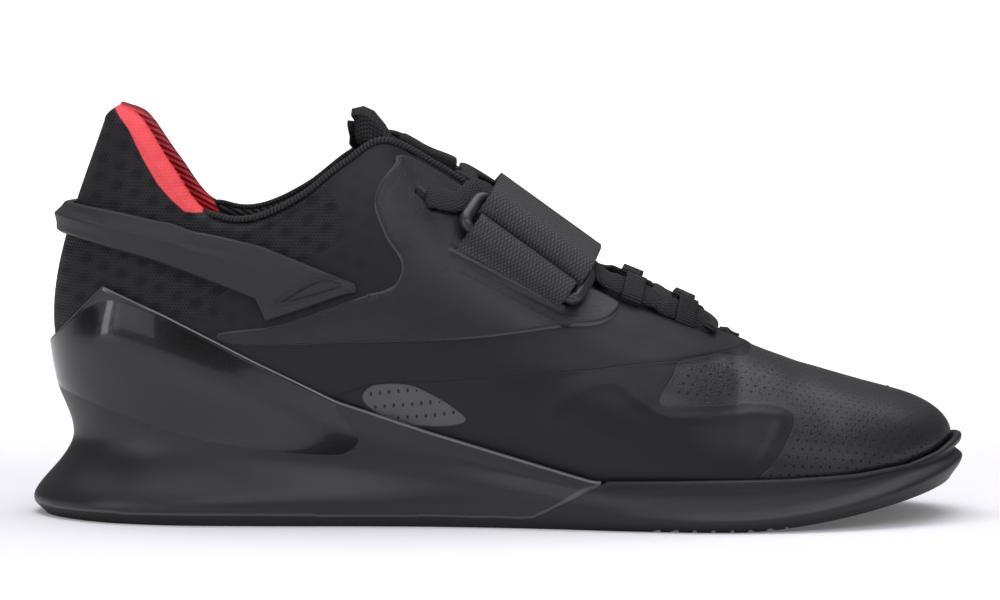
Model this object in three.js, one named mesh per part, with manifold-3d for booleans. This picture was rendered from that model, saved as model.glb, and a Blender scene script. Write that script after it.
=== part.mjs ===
// A raised-heel training shoe for the right foot, in millimetres.
// +X points to the toe, +Y to the inner (medial) side, +Z up. The floor is Z = 0.
import * as THREE from 'three';
import { mergeVertices } from 'three/addons/utils/BufferGeometryUtils.js';
import Module from 'manifold-3d';

const wasm = await Module();
wasm.setup();

// Driving sizes.
const lastLength = 277;      // length of the foot form along its bottom edge
const lastWidth = 94;        // breadth of the foot form at the ball, at its bottom edge
const lastHeelX = -134;      // back end of the foot form
const heelSeat = 34;         // height of the foot bed at the heel
const ballSeat = 11;         // height of the foot bed under the ball
const topHeight = 132;       // highest point of the collar, at the back
const collarHalf = 30;       // half-breadth of the collar at the ankle
const soleLength = 300;
const soleWidth = 110.5;     // breadth of the outsole at the ball
const toeSpring = 13;        // lift of the outsole at the toe
const springStart = 75;      // where the outsole leaves the floor
const springPower = 1.6;
const seatSpringShare = 0.62; // share of the toe spring that the foot bed follows
const upperWall = 2;
const collarPad = 6;         // padding added to the wall below the collar edge
const soleRimWall = 2.6;     // wall of the sole's cup round the upper
const soleEdgeInset = 4;     // how far the sole's bottom edge sits in from its widest line
const clearance = 0.3;       // gap between pieces that touch
const outsoleThickness = 3.3; // rubber under the heel part
const insoleThickness = 4;
const tongueThickness = 4;
const tongueHead = 7;        // padding added to the tongue at its top
const tabThickness = 1.6;    // label on the tongue
const saddleThickness = 0.9; // leather overlay on each side of the quarter
const bandThickness = 2.2;   // moulded band round the heel
const bandRidge = 2.6;       // extra height of the band's ridge at the back
const strapThickness = 1.7;  // one layer of the instep strap
const strapWidth = 38.4;
const webThickness = 1.5;    // webbing that holds the ring
const barRadius = 1.6;       // bar of the ring
const ringLength = 48.4;     // outside length of the ring
const ringCorner = 3.2;
const laceWidth = 6.5;
const laceThickness = 1.9;
const loopWidth = 5.6;       // webbing loops that the lace runs through
const loopThickness = 1;
const ribCount = 72;         // ribs round the foot form
const ribSteps = 11;         // steps up each rib
const throatEndAngle = 2 * Math.PI / 3;
const ridgeFall = -0.2;      // slope of the vamp's ridge near the toe
const grooveCount = 9;
const groovePitch = 5.8;
const grooveWidth = 1.1;
const grooveDepth = 1.4;
const grooveStartX = 50;

// Bottom edge of the upper: place along the last, breadths as shares of lastWidth,
// height as a share of the way from ball seat to heel seat.
const featherRows = [
  { at: 0.00, lateral: 0.000, medial: 0.000, seat: 1.00 },
  { at: 0.05, lateral: 0.225, medial: 0.225, seat: 1.00 },
  { at: 0.10, lateral: 0.303, medial: 0.303, seat: 1.00 },
  { at: 0.20, lateral: 0.352, medial: 0.342, seat: 0.97 },
  { at: 0.35, lateral: 0.378, medial: 0.314, seat: 0.74 },
  { at: 0.50, lateral: 0.430, medial: 0.322, seat: 0.34 },
  { at: 0.62, lateral: 0.489, medial: 0.404, seat: 0.06 },
  { at: 0.70, lateral: 0.505, medial: 0.468, seat: 0.00 },
  { at: 0.78, lateral: 0.479, medial: 0.495, seat: 0.00 },
  { at: 0.86, lateral: 0.404, medial: 0.468, seat: 0.00 },
  { at: 0.93, lateral: 0.277, medial: 0.394, seat: 0.00 },
  { at: 1.00, lateral: -0.096, medial: 0.096, seat: 0.00 },
];

// Top line of the upper, for the rib whose foot is at the same place: collar, throat edge, then
// the ridge of the vamp. reach is a share of lastLength, rise of topHeight, span and centre of
// collarHalf; roll is the radius of the edge as a share of collarHalf.
const topRows = [
  { at: 0.000, reach: 0.043, rise: 1.000, span: 0.00, centre: 0.00, roll: 0.19 },
  { at: 0.020, reach: 0.051, rise: 0.994, span: 0.31, centre: 0.00, roll: 0.19 },
  { at: 0.060, reach: 0.073, rise: 0.966, span: 0.61, centre: 0.00, roll: 0.19 },
  { at: 0.120, reach: 0.107, rise: 0.860, span: 0.83, centre: 0.00, roll: 0.18 },
  { at: 0.180, reach: 0.146, rise: 0.755, span: 0.95, centre: 0.00, roll: 0.16 },
  { at: 0.250, reach: 0.202, rise: 0.735, span: 1.00, centre: 0.00, roll: 0.14 },
  { at: 0.310, reach: 0.260, rise: 0.792, span: 0.97, centre: 0.00, roll: 0.11 },
  { at: 0.360, reach: 0.307, rise: 0.868, span: 0.89, centre: 0.01, roll: 0.08 },
  { at: 0.405, reach: 0.352, rise: 0.919, span: 0.78, centre: 0.01, roll: 0.05 },
  { at: 0.450, reach: 0.412, rise: 0.858, span: 0.67, centre: 0.02, roll: 0.04 },
  { at: 0.520, reach: 0.495, rise: 0.735, span: 0.58, centre: 0.03, roll: 0.04 },
  { at: 0.600, reach: 0.581, rise: 0.598, span: 0.53, centre: 0.05, roll: 0.04 },
  { at: 0.660, reach: 0.650, rise: 0.534, span: 0.45, centre: 0.06, roll: 0.04 },
  { at: 0.710, reach: 0.706, rise: 0.482, span: 0.30, centre: 0.07, roll: 0.03 },
  { at: 0.750, reach: 0.749, rise: 0.445, span: 0.00, centre: 0.07, roll: 0.00 },
  { at: 0.800, reach: 0.794, rise: 0.405, span: 0.00, centre: 0.11, roll: 0.00 },
  { at: 0.860, reach: 0.848, rise: 0.367, span: 0.00, centre: 0.17, roll: 0.00 },
  { at: 0.920, reach: 0.894, rise: 0.338, span: 0.00, centre: 0.22, roll: 0.00 },
  { at: 0.970, reach: 0.925, rise: 0.320, span: 0.00, centre: 0.27, roll: 0.00 },
  { at: 1.000, reach: 0.938, rise: 0.312, span: 0.00, centre: 0.30, roll: 0.00 },
];

// How each rib bulges: swell and shoulder are outward shares of lastWidth, lift and fall are
// shares of the rib's height.
const bulgeRows = [
  { at: 0.00, swell: 0.213, lift: 0.265, shoulder: 0.130, fall: 0.36 },
  { at: 0.05, swell: 0.190, lift: 0.280, shoulder: 0.100, fall: 0.36 },
  { at: 0.12, swell: 0.120, lift: 0.300, shoulder: 0.050, fall: 0.34 },
  { at: 0.20, swell: 0.080, lift: 0.340, shoulder: 0.020, fall: 0.32 },
  { at: 0.30, swell: 0.070, lift: 0.340, shoulder: 0.060, fall: 0.32 },
  { at: 0.40, swell: 0.080, lift: 0.340, shoulder: 0.150, fall: 0.32 },
  { at: 0.50, swell: 0.090, lift: 0.340, shoulder: 0.210, fall: 0.24 },
  { at: 0.60, swell: 0.100, lift: 0.380, shoulder: 0.240, fall: 0.12 },
  { at: 0.70, swell: 0.090, lift: 0.420, shoulder: 0.260, fall: 0.04 },
  { at: 0.78, swell: 0.080, lift: 0.460, shoulder: 0.260, fall: 0.00 },
  { at: 0.86, swell: 0.080, lift: 0.480, shoulder: 0.230, fall: 0.00 },
  { at: 0.93, swell: 0.095, lift: 0.480, shoulder: 0.190, fall: 0.00 },
  { at: 1.00, swell: 0.110, lift: 0.460, shoulder: 0.160, fall: 0.00 },
];

// Widest line of the sole: place along the sole, breadths as shares of soleWidth.
const baseRows = [
  { at: 0.00, lateral: 0.000, medial: 0.000 },
  { at: 0.03, lateral: 0.205, medial: 0.205 },
  { at: 0.08, lateral: 0.326, medial: 0.317 },
  { at: 0.15, lateral: 0.389, medial: 0.380 },
  { at: 0.25, lateral: 0.398, medial: 0.371 },
  { at: 0.35, lateral: 0.389, medial: 0.335 },
  { at: 0.45, lateral: 0.394, medial: 0.326 },
  { at: 0.55, lateral: 0.430, medial: 0.362 },
  { at: 0.64, lateral: 0.480, medial: 0.425 },
  { at: 0.72, lateral: 0.502, medial: 0.480 },
  { at: 0.80, lateral: 0.475, medial: 0.498 },
  { at: 0.88, lateral: 0.389, medial: 0.462 },
  { at: 0.94, lateral: 0.271, medial: 0.376 },
  { at: 1.00, lateral: -0.081, medial: 0.081 },
];

// Side of the sole: height of the widest line and of the waist above the bottom, as shares of
// heelSeat; stand is how far the waist stands out from the upper's bottom edge, as a share of
// soleWidth.
const sideRows = [
  { at: 0.00, flare: 0.15, waist: 0.74, stand: 0.024 },
  { at: 0.03, flare: 0.15, waist: 0.73, stand: 0.024 },
  { at: 0.10, flare: 0.16, waist: 0.71, stand: 0.023 },
  { at: 0.20, flare: 0.17, waist: 0.67, stand: 0.026 },
  { at: 0.30, flare: 0.17, waist: 0.58, stand: 0.032 },
  { at: 0.40, flare: 0.17, waist: 0.48, stand: 0.038 },
  { at: 0.50, flare: 0.15, waist: 0.36, stand: 0.044 },
  { at: 0.60, flare: 0.12, waist: 0.25, stand: 0.050 },
  { at: 0.66, flare: 0.11, waist: 0.21, stand: 0.050 },
  { at: 0.78, flare: 0.11, waist: 0.21, stand: 0.048 },
  { at: 0.86, flare: 0.12, waist: 0.22, stand: 0.046 },
  { at: 0.92, flare: 0.14, waist: 0.24, stand: 0.044 },
  { at: 0.97, flare: 0.18, waist: 0.27, stand: 0.042 },
  { at: 1.00, flare: 0.21, waist: 0.29, stand: 0.040 },
];

// Rim of the sole in the side view: along is a share of soleLength from the shoe's middle, rise a
// share of topHeight.
const rimRows = [
  { along: -0.500, rise: 0.386 },
  { along: -0.489, rise: 0.394 },
  { along: -0.418, rise: 0.562 },
  { along: -0.355, rise: 0.500 },
  { along: -0.260, rise: 0.391 },
  { along: -0.171, rise: 0.294 },
  { along: -0.077, rise: 0.226 },
  { along: 0.015, rise: 0.166 },
  { along: 0.100, rise: 0.112 },
  { along: 0.215, rise: 0.117 },
  { along: 0.300, rise: 0.118 },
  { along: 0.375, rise: 0.124 },
  { along: 0.430, rise: 0.139 },
  { along: 0.465, rise: 0.162 },
  { along: 0.490, rise: 0.195 },
  { along: 0.500, rise: 0.198 },
];

// Edges and ridge of the heel band in the side view, in the same shares.
const bandRows = [
  { along: -0.500, top: 0.745, ridge: 0.725, bottom: 0.683 },
  { along: -0.455, top: 0.757, ridge: 0.720, bottom: 0.681 },
  { along: -0.430, top: 0.754, ridge: 0.711, bottom: 0.670 },
  { along: -0.365, top: 0.728, ridge: 0.680, bottom: 0.632 },
  { along: -0.280, top: 0.684, ridge: 0.633, bottom: 0.562 },
  { along: -0.254, top: 0.670, ridge: 0.612, bottom: 0.538 },
  { along: -0.249, top: 0.667, ridge: 0.586, bottom: 0.486 },
  { along: -0.166, top: 0.594, ridge: 0.578, bottom: 0.552 },
  { along: -0.150, top: 0.580, ridge: 0.570, bottom: 0.560 },
];

// Leather saddle in the side view, in the same shares, lower edge first.
const saddleRows = [
  { along: -0.268, rise: 0.432 },
  { along: -0.150, rise: 0.442 },
  { along: -0.043, rise: 0.452 },
  { along: 0.065, rise: 0.480 },
  { along: 0.105, rise: 0.487 },
  { along: 0.122, rise: 0.505 },
  { along: 0.126, rise: 0.526 },
  { along: 0.110, rise: 0.548 },
  { along: 0.086, rise: 0.575 },
  { along: 0.060, rise: 0.640 },
  { along: -0.010, rise: 0.760 },
  { along: -0.085, rise: 0.868 },
  { along: -0.107, rise: 0.884 },
  { along: -0.110, rise: 0.866 },
  { along: -0.122, rise: 0.834 },
  { along: -0.130, rise: 0.800 },
  { along: -0.132, rise: 0.765 },
  { along: -0.119, rise: 0.690 },
  { along: -0.104, rise: 0.640 },
  { along: -0.104, rise: 0.602 },
  { along: -0.116, rise: 0.570 },
  { along: -0.156, rise: 0.543 },
  { along: -0.230, rise: 0.482 },
  { along: -0.296, rise: 0.459 },
];

// Joins the rows of a table into a smooth closed curve round the shoe: angle 0 is the heel,
// pi the toe, lateral side first. The value at a row is lateral(row) or medial(row).
function roundTheShoe(rows, lateral, medial = lateral) {
  const angle = (row) => Math.acos(1 - 2 * row.at);
  const inner = rows.slice(1, -1).reverse();
  const knots = [
    ...rows.map((row) => ({ angle: angle(row), value: lateral(row) })),
    ...inner.map((row) => ({ angle: 2 * Math.PI - angle(row), value: medial(row) })),
  ];
  const count = knots.length;
  const step = (i) => (knots[(i + 1) % count].angle - knots[i].angle + 2 * Math.PI) % (2 * Math.PI);
  const rise = (i) => (knots[(i + 1) % count].value - knots[i].value) / step(i);
  const slope = knots.map((_, i) => {
    const before = (i + count - 1) % count;
    return (rise(before) * step(i) + rise(i) * step(before)) / (step(before) + step(i));
  });
  return (place) => {
    const turned = ((place % (2 * Math.PI)) + 2 * Math.PI) % (2 * Math.PI);
    let i = count - 1;
    while (knots[i].angle > turned) i -= 1;
    const next = (i + 1) % count;
    const width = step(i);
    const t = (turned - knots[i].angle) / width;
    return knots[i].value * (1 + 2 * t) * (1 - t) ** 2
      + slope[i] * width * t * (1 - t) ** 2
      + knots[next].value * t * t * (3 - 2 * t)
      + slope[next] * width * t * t * (t - 1);
  };
}

// A line in the side view, straight from row to row: height as a function of x.
function sideLine(rows, name) {
  return (x) => {
    const along = THREE.MathUtils.clamp(x / soleLength, rows[0].along, rows[rows.length - 1].along);
    const i = Math.max(1, rows.findIndex((row) => row.along >= along));
    const share = (along - rows[i - 1].along) / (rows[i].along - rows[i - 1].along);
    return topHeight * (rows[i - 1][name] * (1 - share) + rows[i][name] * share);
  };
}

const column = (rows, name) => roundTheShoe(rows, (row) => row[name]);
const breadth = (rows, size) => roundTheShoe(rows, (row) => -row.lateral * size, (row) => row.medial * size);

// Height of the bottom of the sole: flat to the ball, then curving up to the toe.
function spring(x) {
  const along = Math.max(0, x - springStart) / (soleLength / 2 - springStart);
  return toeSpring * along ** springPower;
}

const footY = breadth(featherRows, lastWidth);
const footSeat = column(featherRows, 'seat');
const topReach = column(topRows, 'reach');
const topRise = column(topRows, 'rise');
const topSpan = column(topRows, 'span');
const topCentre = column(topRows, 'centre');
const topRoll = column(topRows, 'roll');
const ribSwell = column(bulgeRows, 'swell');
const ribLift = column(bulgeRows, 'lift');
const ribShoulder = column(bulgeRows, 'shoulder');
const ribFall = column(bulgeRows, 'fall');

// Bottom edge of the upper at an angle round the shoe.
function footPoint(angle) {
  const x = lastHeelX + lastLength * (1 - Math.cos(angle)) / 2;
  const z = ballSeat + (heelSeat - ballSeat) * footSeat(angle) + seatSpringShare * spring(x);
  return new THREE.Vector3(x, footY(angle), z);
}

// Level direction that points away from the foot at an angle round the shoe.
function outward(angle) {
  const small = 0.01;
  const along = footPoint(angle + small).sub(footPoint(angle - small));
  return new THREE.Vector3(along.y, -along.x, 0).normalize();
}

const side = (angle) => (angle % (2 * Math.PI) <= Math.PI ? -1 : 1);
const fold = (angle) => Math.min(angle, 2 * Math.PI - angle);

function topPoint(angle) {
  const span = fold(angle) >= throatEndAngle - 1e-6 ? 0 : Math.max(0, topSpan(angle));
  return new THREE.Vector3(
    lastHeelX + lastLength * topReach(fold(angle)),
    collarHalf * (topCentre(fold(angle)) + side(angle) * span),
    topHeight * topRise(fold(angle)),
  );
}

// A rib is a curve from the bottom edge up to the top line, with a rounded edge at the top.
const ribs = new Map();
function rib(turned) {
  const angle = (turned + 2 * Math.PI) % (2 * Math.PI);
  if (ribs.has(angle)) return ribs.get(angle);
  const foot = footPoint(angle);
  const top = topPoint(angle);
  const out = outward(angle);
  const height = top.z - foot.z;
  const roll = fold(angle) >= throatEndAngle - 1e-6 ? 0 : Math.max(0, topRoll(angle)) * collarHalf;
  const edge = top.clone().addScaledVector(out, roll);
  edge.z -= roll;
  const shoulder = ribShoulder(angle) * lastWidth;
  const curve = new THREE.CubicBezierCurve3(
    foot,
    foot.clone().addScaledVector(out, ribSwell(angle) * lastWidth)
      .setZ(foot.z + ribLift(angle) * height),
    edge.clone().addScaledVector(out, shoulder)
      .setZ(edge.z - ribFall(angle) * height + ridgeFall * shoulder * Math.max(0, out.x) * (roll === 0)),
    edge,
  );
  const made = { curve, top, out, roll, turn: 1 - 0.16 * Math.min(1, roll / 2) };
  ribs.set(angle, made);
  return made;
}

// Outer surface of the upper: share 0 is the bottom edge and 1 the top line.
function upperPoint(angle, share) {
  const { curve, top, out, roll, turn } = rib(angle);
  if (share <= turn) return curve.getPoint(share / turn);
  const bend = (share - turn) / (1 - turn) * Math.PI / 2;
  const point = top.clone().addScaledVector(out, roll * Math.cos(bend) ** 2);
  point.z -= roll * (1 - Math.sin(bend));
  return point;
}

function upperNormal(angle, share) {
  const small = 0.004;
  const high = Math.min(1, share + small);
  const low = Math.max(0, share - small);
  const up = upperPoint(angle, high).sub(upperPoint(angle, low));
  const along = upperPoint(angle + small, share).sub(upperPoint(angle - small, share));
  return along.cross(up).normalize();
}

// Share of a rib at which it passes a line of the side view.
function shareOn(angle, line) {
  let low = 0;
  let high = 1;
  for (let i = 0; i < 30; i += 1) {
    const middle = (low + high) / 2;
    const point = upperPoint(angle, middle);
    if (point.z < line(point.x)) low = middle;
    else high = middle;
  }
  return (low + high) / 2;
}

// Wall of the upper: thin, with padding that swells below the collar edge.
function wallAt(angle, share) {
  const ankle = THREE.MathUtils.smoothstep(fold(angle), 1.05, 1.35);
  const below = (1 - share) * 3.2;
  const swell = Math.exp(-((below - 0.55) ** 2) / 0.14);
  return upperWall + collarPad * (1 - ankle) * swell;
}

// A sheet is a list of points and of triangles. Joined points are shared.
function sheetFromGrid(grid, closed) {
  const rows = grid.length;
  const columns = grid[0].length;
  const faces = [];
  for (let i = 0; i < (closed ? rows : rows - 1); i += 1) {
    const next = (i + 1) % rows;
    for (let j = 0; j < columns - 1; j += 1) {
      const [a, b, c, d] = [i * columns + j, next * columns + j, next * columns + j + 1, i * columns + j + 1];
      faces.push([a, b, c], [a, c, d]);
    }
  }
  return weld({ points: grid.flat(), faces });
}

function weld({ points, faces }) {
  const seen = new Map();
  const kept = [];
  const place = points.map((point) => {
    const key = [point.x, point.y, point.z].map((value) => Math.round(value * 1e3)).join(' ');
    if (!seen.has(key)) {
      seen.set(key, kept.length);
      kept.push(point);
    }
    return seen.get(key);
  });
  const moved = faces.map((face) => face.map((corner) => place[corner]));
  return { points: kept, faces: moved.filter(([a, b, c]) => a !== b && b !== c && c !== a) };
}

function sheetNormals({ points, faces }) {
  const normals = points.map(() => new THREE.Vector3());
  for (const [a, b, c] of faces) {
    const across = points[b].clone().sub(points[a]).cross(points[c].clone().sub(points[a]));
    for (const corner of [a, b, c]) normals[corner].add(across);
  }
  return normals.map((normal) => normal.normalize());
}

// Turns an open sheet into a closed wall between two distances along its normals.
function thicken(sheet, outer, inner) {
  const { points, faces } = sheet;
  const normals = sheetNormals(sheet);
  const count = points.length;
  const shifted = (distance) => points.map((point, i) => point.clone().addScaledVector(normals[i], distance(i)));
  const edges = new Set(faces.flatMap(([a, b, c]) => [`${a} ${b}`, `${b} ${c}`, `${c} ${a}`]));
  const closed = [...faces];
  for (const [a, b, c] of faces) {
    closed.push([c + count, b + count, a + count]);
    for (const [from, to] of [[a, b], [b, c], [c, a]]) {
      if (!edges.has(`${to} ${from}`)) closed.push([to, from, from + count], [to, from + count, to + count]);
    }
  }
  return { points: [...shifted(outer), ...shifted(inner)], faces: closed };
}

// Closes a stack of rings, each a loop of points, with ladders across its first and last ring.
function loft(rings) {
  const size = rings[0].length;
  const faces = [];
  for (let i = 0; i < rings.length - 1; i += 1) {
    for (let j = 0; j < size; j += 1) {
      const next = (j + 1) % size;
      const [a, b, c, d] = [i * size + j, i * size + next, (i + 1) * size + next, (i + 1) * size + j];
      faces.push([a, b, c], [a, c, d]);
    }
  }
  for (const [ring, flip] of [[0, true], [rings.length - 1, false]]) {
    const start = ring * size;
    for (let j = 0; j < size / 2; j += 1) {
      const [a, b, c, d] = [j, j + 1, (size - j - 1) % size, (size - j) % size].map((corner) => start + corner);
      for (const face of [[a, b, c], [a, c, d]]) faces.push(flip ? face.reverse() : face);
    }
  }
  return weld({ points: rings.flat(), faces });
}

function volume({ points, faces }) {
  return faces.reduce((sum, [a, b, c]) => sum + points[a].dot(points[b].clone().cross(points[c])) / 6, 0);
}

function solid(sheet) {
  const outside = volume(sheet) > 0;
  const made = new wasm.Mesh({
    numProp: 3,
    vertProperties: new Float32Array(sheet.points.flatMap((point) => point.toArray())),
    triVerts: new Uint32Array(sheet.faces.flatMap((face) => (outside ? face : [...face].reverse()))),
  });
  return new wasm.Manifold(made);
}

// A closed profile pushed along its own normal, with shared corners.
function extrude(shape, depth) {
  const block = new THREE.ExtrudeGeometry(shape, { depth, bevelEnabled: false, curveSegments: 3 });
  block.deleteAttribute('normal');
  block.deleteAttribute('uv');
  return mergeVertices(block, 1e-4);
}

function solidFromGeometry(geometry) {
  return new wasm.Manifold(new wasm.Mesh({
    numProp: 3,
    vertProperties: Float32Array.from(geometry.attributes.position.array),
    triVerts: Uint32Array.from(geometry.index.array),
  }));
}

// A flat outline in the side view, drawn through points of x and z, as a block across the shoe.
function sideBlock(outline, fromY, toY) {
  const shape = new THREE.Shape(outline.map(([x, z]) => new THREE.Vector2(x, z)));
  const block = extrude(shape, toY - fromY);
  block.rotateX(Math.PI / 2);
  block.translate(0, toY, 0);
  return solidFromGeometry(block);
}

const shoe = new THREE.Group();
const tints = {
  shell: { color: 0x1c1c1e, roughness: 0.55 },
  leather: { color: 0x222225, roughness: 0.5 },
  rubber: { color: 0x1b1b1d, roughness: 0.7 },
  plastic: { color: 0x161618, roughness: 0.25 },
  webbing: { color: 0x1a1a1b, roughness: 0.85 },
  lining: { color: 0xe8505a, roughness: 0.85 },
};

function addPiece(name, made, tint) {
  const mesh = made.getMesh();
  const geometry = new THREE.BufferGeometry();
  geometry.setAttribute('position', new THREE.BufferAttribute(Float32Array.from(mesh.vertProperties), 3));
  geometry.setIndex(new THREE.BufferAttribute(Uint32Array.from(mesh.triVerts), 1));
  geometry.computeVertexNormals();
  const piece = new THREE.Mesh(geometry, new THREE.MeshStandardMaterial({ ...tints[tint], metalness: 0 }));
  piece.name = name;
  shoe.add(piece);
}

const angles = Array.from({ length: ribCount }, (_, i) => (2 * Math.PI * i) / ribCount);
const shares = Array.from({ length: ribSteps + 1 }, (_, j) => j / ribSteps);

// The upper: one hollow shell, open at the collar, the throat and underneath.
function makeUpper() {
  const grid = angles.map((angle) => shares.map((share) => upperPoint(angle, share)));
  const sheet = sheetFromGrid(grid, true);
  const walls = new Map();
  angles.forEach((angle, i) => shares.forEach((share, j) => {
    walls.set(grid[i][j], wallAt(angle, share));
  }));
  const wall = sheet.points.map((point) => walls.get(point));
  return solid(thicken(sheet, () => 0, (i) => -wall[i]));
}

// The room that the upper takes, grown by a distance, as one closed block.
function footForm(grow) {
  const rings = shares.map((share) => angles.map((angle) => (
    upperPoint(angle, share).addScaledVector(upperNormal(angle, share), grow))));
  rings[0].forEach((point) => { point.z -= clearance; });
  return solid(loft(rings));
}

const baseY = breadth(baseRows, soleWidth);
const baseFlare = column(sideRows, 'flare');
const baseWaist = column(sideRows, 'waist');
const baseStand = column(sideRows, 'stand');
const rimLine = sideLine(rimRows, 'rise');

function basePoint(angle) {
  return new THREE.Vector3(-soleLength * Math.cos(angle) / 2, baseY(angle), 0);
}

function baseOutward(angle) {
  const small = 0.01;
  const along = basePoint(angle + small).sub(basePoint(angle - small));
  return new THREE.Vector3(along.y, -along.x, 0).normalize();
}

// Side of the sole at an angle: bottom edge, widest line, waist, cup and rim.
function soleSide(angle) {
  const flare = basePoint(angle);
  const bottom = flare.clone().addScaledVector(baseOutward(angle), -soleEdgeInset);
  const floor = spring(bottom.x);
  bottom.z = floor;
  flare.z = floor + heelSeat * baseFlare(angle);
  const waist = footPoint(angle).addScaledVector(outward(angle), soleWidth * baseStand(angle));
  waist.z = floor + heelSeat * baseWaist(angle);
  const rimShare = shareOn(angle, rimLine);
  const rimZ = upperPoint(angle, rimShare).z;
  const cupAt = (share, z) => upperPoint(angle, share)
    .addScaledVector(upperNormal(angle, share), clearance + soleRimWall).setZ(z);
  const cupZ = waist.z * 0.4 + rimZ * 0.6;
  const cup = cupAt(shareOn(angle, () => cupZ), cupZ);
  const rim = cupAt(rimShare, rimZ);
  return new THREE.CatmullRomCurve3([bottom, flare, waist, cup, rim], false, 'centripetal');
}

function soleForm(skin) {
  const steps = 9;
  const curves = angles.map(soleSide);
  const rings = Array.from({ length: steps + 1 }, (_, i) => curves.map((curve) => curve.getPoint(i / steps)));
  return solid(loft(rings)).subtract(skin);
}

// The line in the side view where the rubber outsole meets the moulded heel part.
const partingFrontX = 10;
const partingTopX = 33;
const partingTopZ = 15;
const farAway = 400;
const makeParting = (lift) => [
  [-farAway, outsoleThickness + lift],
  [partingFrontX, outsoleThickness + lift],
  [partingTopX - lift, partingTopZ],
  [partingTopX - lift, farAway],
];

function makeSole(skin) {
  const whole = soleForm(skin);
  const above = sideBlock([...makeParting(clearance), [-farAway, farAway]], -farAway, farAway);
  const below = sideBlock([...makeParting(0), [farAway, farAway], [farAway, -farAway], [-farAway, -farAway]],
    -farAway, farAway);
  let outsole = whole.intersect(below);
  for (let i = 0; i < grooveCount; i += 1) {
    const x = grooveStartX + i * groovePitch;
    const top = spring(x) + grooveDepth;
    const groove = [[x - grooveWidth / 2, -farAway], [x + grooveWidth / 2, -farAway],
      [x + grooveWidth / 2, top], [x - grooveWidth / 2, top]];
    outsole = outsole.subtract(sideBlock(groove, -farAway, farAway));
  }
  return { outsole, heel: whole.intersect(above) };
}

// The insole lies inside the upper's wall on the foot bed.
function makeInsole() {
  const inset = upperWall + 2 * clearance;
  const inside = (angle, share) => upperPoint(angle, share)
    .addScaledVector(upperNormal(angle, share), -inset);
  const ringAt = (height) => angles.map((angle) => {
    const low = inside(angle, 0);
    const high = inside(angle, shares[1]);
    const z = footPoint(angle).z + height;
    return low.clone().lerp(high, Math.max(0, (z - low.z) / (high.z - low.z))).setZ(z);
  });
  return solid(loft([ringAt(0), ringAt(insoleThickness / 2), ringAt(insoleThickness)]));
}

// The tongue follows the underside of the throat edges and stands above them at its head.
const tongueAngles = [1.40, 1.47, 1.54, 1.61, 1.68, 1.75, 1.82, 1.89, 1.96, 2.03, 2.12];
const tongueShares = [0.80, 0.86, 0.93, 1.0];
const tongueCrownRows = [{ angle: 1.40, crown: 1.5 }, { angle: 1.70, crown: 1.7 }, { angle: 1.89, crown: 3.4 },
  { angle: 2.03, crown: 2 }, { angle: 2.12, crown: 0 }];
const tabAngles = [1.405, 1.425, 1.445, 1.46];
const tongueStretch = [{ back: 11, up: 7.5, narrow: 0.72 }, { back: 6, up: 5, narrow: 0.9 }];

function tongueCrown(angle) {
  const next = Math.max(1, tongueCrownRows.findIndex((row) => row.angle >= angle));
  const [from, to] = [tongueCrownRows[next - 1], tongueCrownRows[next]];
  const share = THREE.MathUtils.clamp((angle - from.angle) / (to.angle - from.angle), 0, 1);
  return from.crown + (to.crown - from.crown) * share;
}

function tongueSection(angle) {
  const half = (turned) => tongueShares.map((share) => {
    const deep = wallAt(turned, share) + 3 * clearance;
    return upperPoint(turned, share).addScaledVector(upperNormal(turned, share), -deep);
  });
  const near = half(angle);
  const far = half(2 * Math.PI - angle).reverse();
  const middle = near[near.length - 1].clone().lerp(far[0], 0.5);
  middle.z += tongueCrown(angle);
  const curve = new THREE.CatmullRomCurve3([...near, middle, ...far], false, 'centripetal');
  return curve.getPoints(12);
}

function makeTongue(grow) {
  const first = tongueSection(tongueAngles[0]);
  const centre = first[Math.floor(first.length / 2)];
  const head = tongueStretch.map(({ back, up, narrow }) => first.map((point) => (
    new THREE.Vector3(point.x - back, centre.y + (point.y - centre.y) * narrow, point.z + up))));
  const grid = [...head, ...tongueAngles.map(tongueSection)];
  const sheet = sheetFromGrid(grid, false);
  const rowOf = new Map();
  grid.forEach((row, i) => row.forEach((point) => rowOf.set(point, i)));
  const padding = (i) => {
    const row = rowOf.get(sheet.points[i]);
    return tongueThickness + tongueHead * Math.exp(-((row - 1.2) ** 2) / 3);
  };
  return solid(thicken(sheet, () => grow, (i) => -padding(i)));
}

// The label on the tongue's head: a thin plate that follows the tongue.
function makeTongueTab() {
  const rows = tabAngles.map((angle) => tongueSection(angle).slice(5, 8));
  return solid(thicken(sheetFromGrid(rows, false), () => clearance + tabThickness, () => clearance));
}

// A patch of the upper's surface between two angles and two lines of the side view.
function patch(fromAngle, toAngle, columns, rowShares) {
  return Array.from({ length: columns + 1 }, (_, i) => {
    const angle = fromAngle + ((toAngle - fromAngle) * i) / columns;
    return rowShares(angle).map((share) => ({ angle, share, point: upperPoint(angle, share) }));
  });
}

function wallOnPatch(rows, outer, inner) {
  const grid = rows.map((row) => row.map(({ point }) => point));
  const places = new Map(rows.flat().map((place) => [place.point, place]));
  const sheet = sheetFromGrid(grid, false);
  const distance = (rule) => (i) => rule(places.get(sheet.points[i]));
  return solid(thicken(sheet, distance(outer), distance(inner)));
}

// The band round the heel: a moulded strip with a ridge at the back that fades forward.
const bandReach = 1.19;

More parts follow.
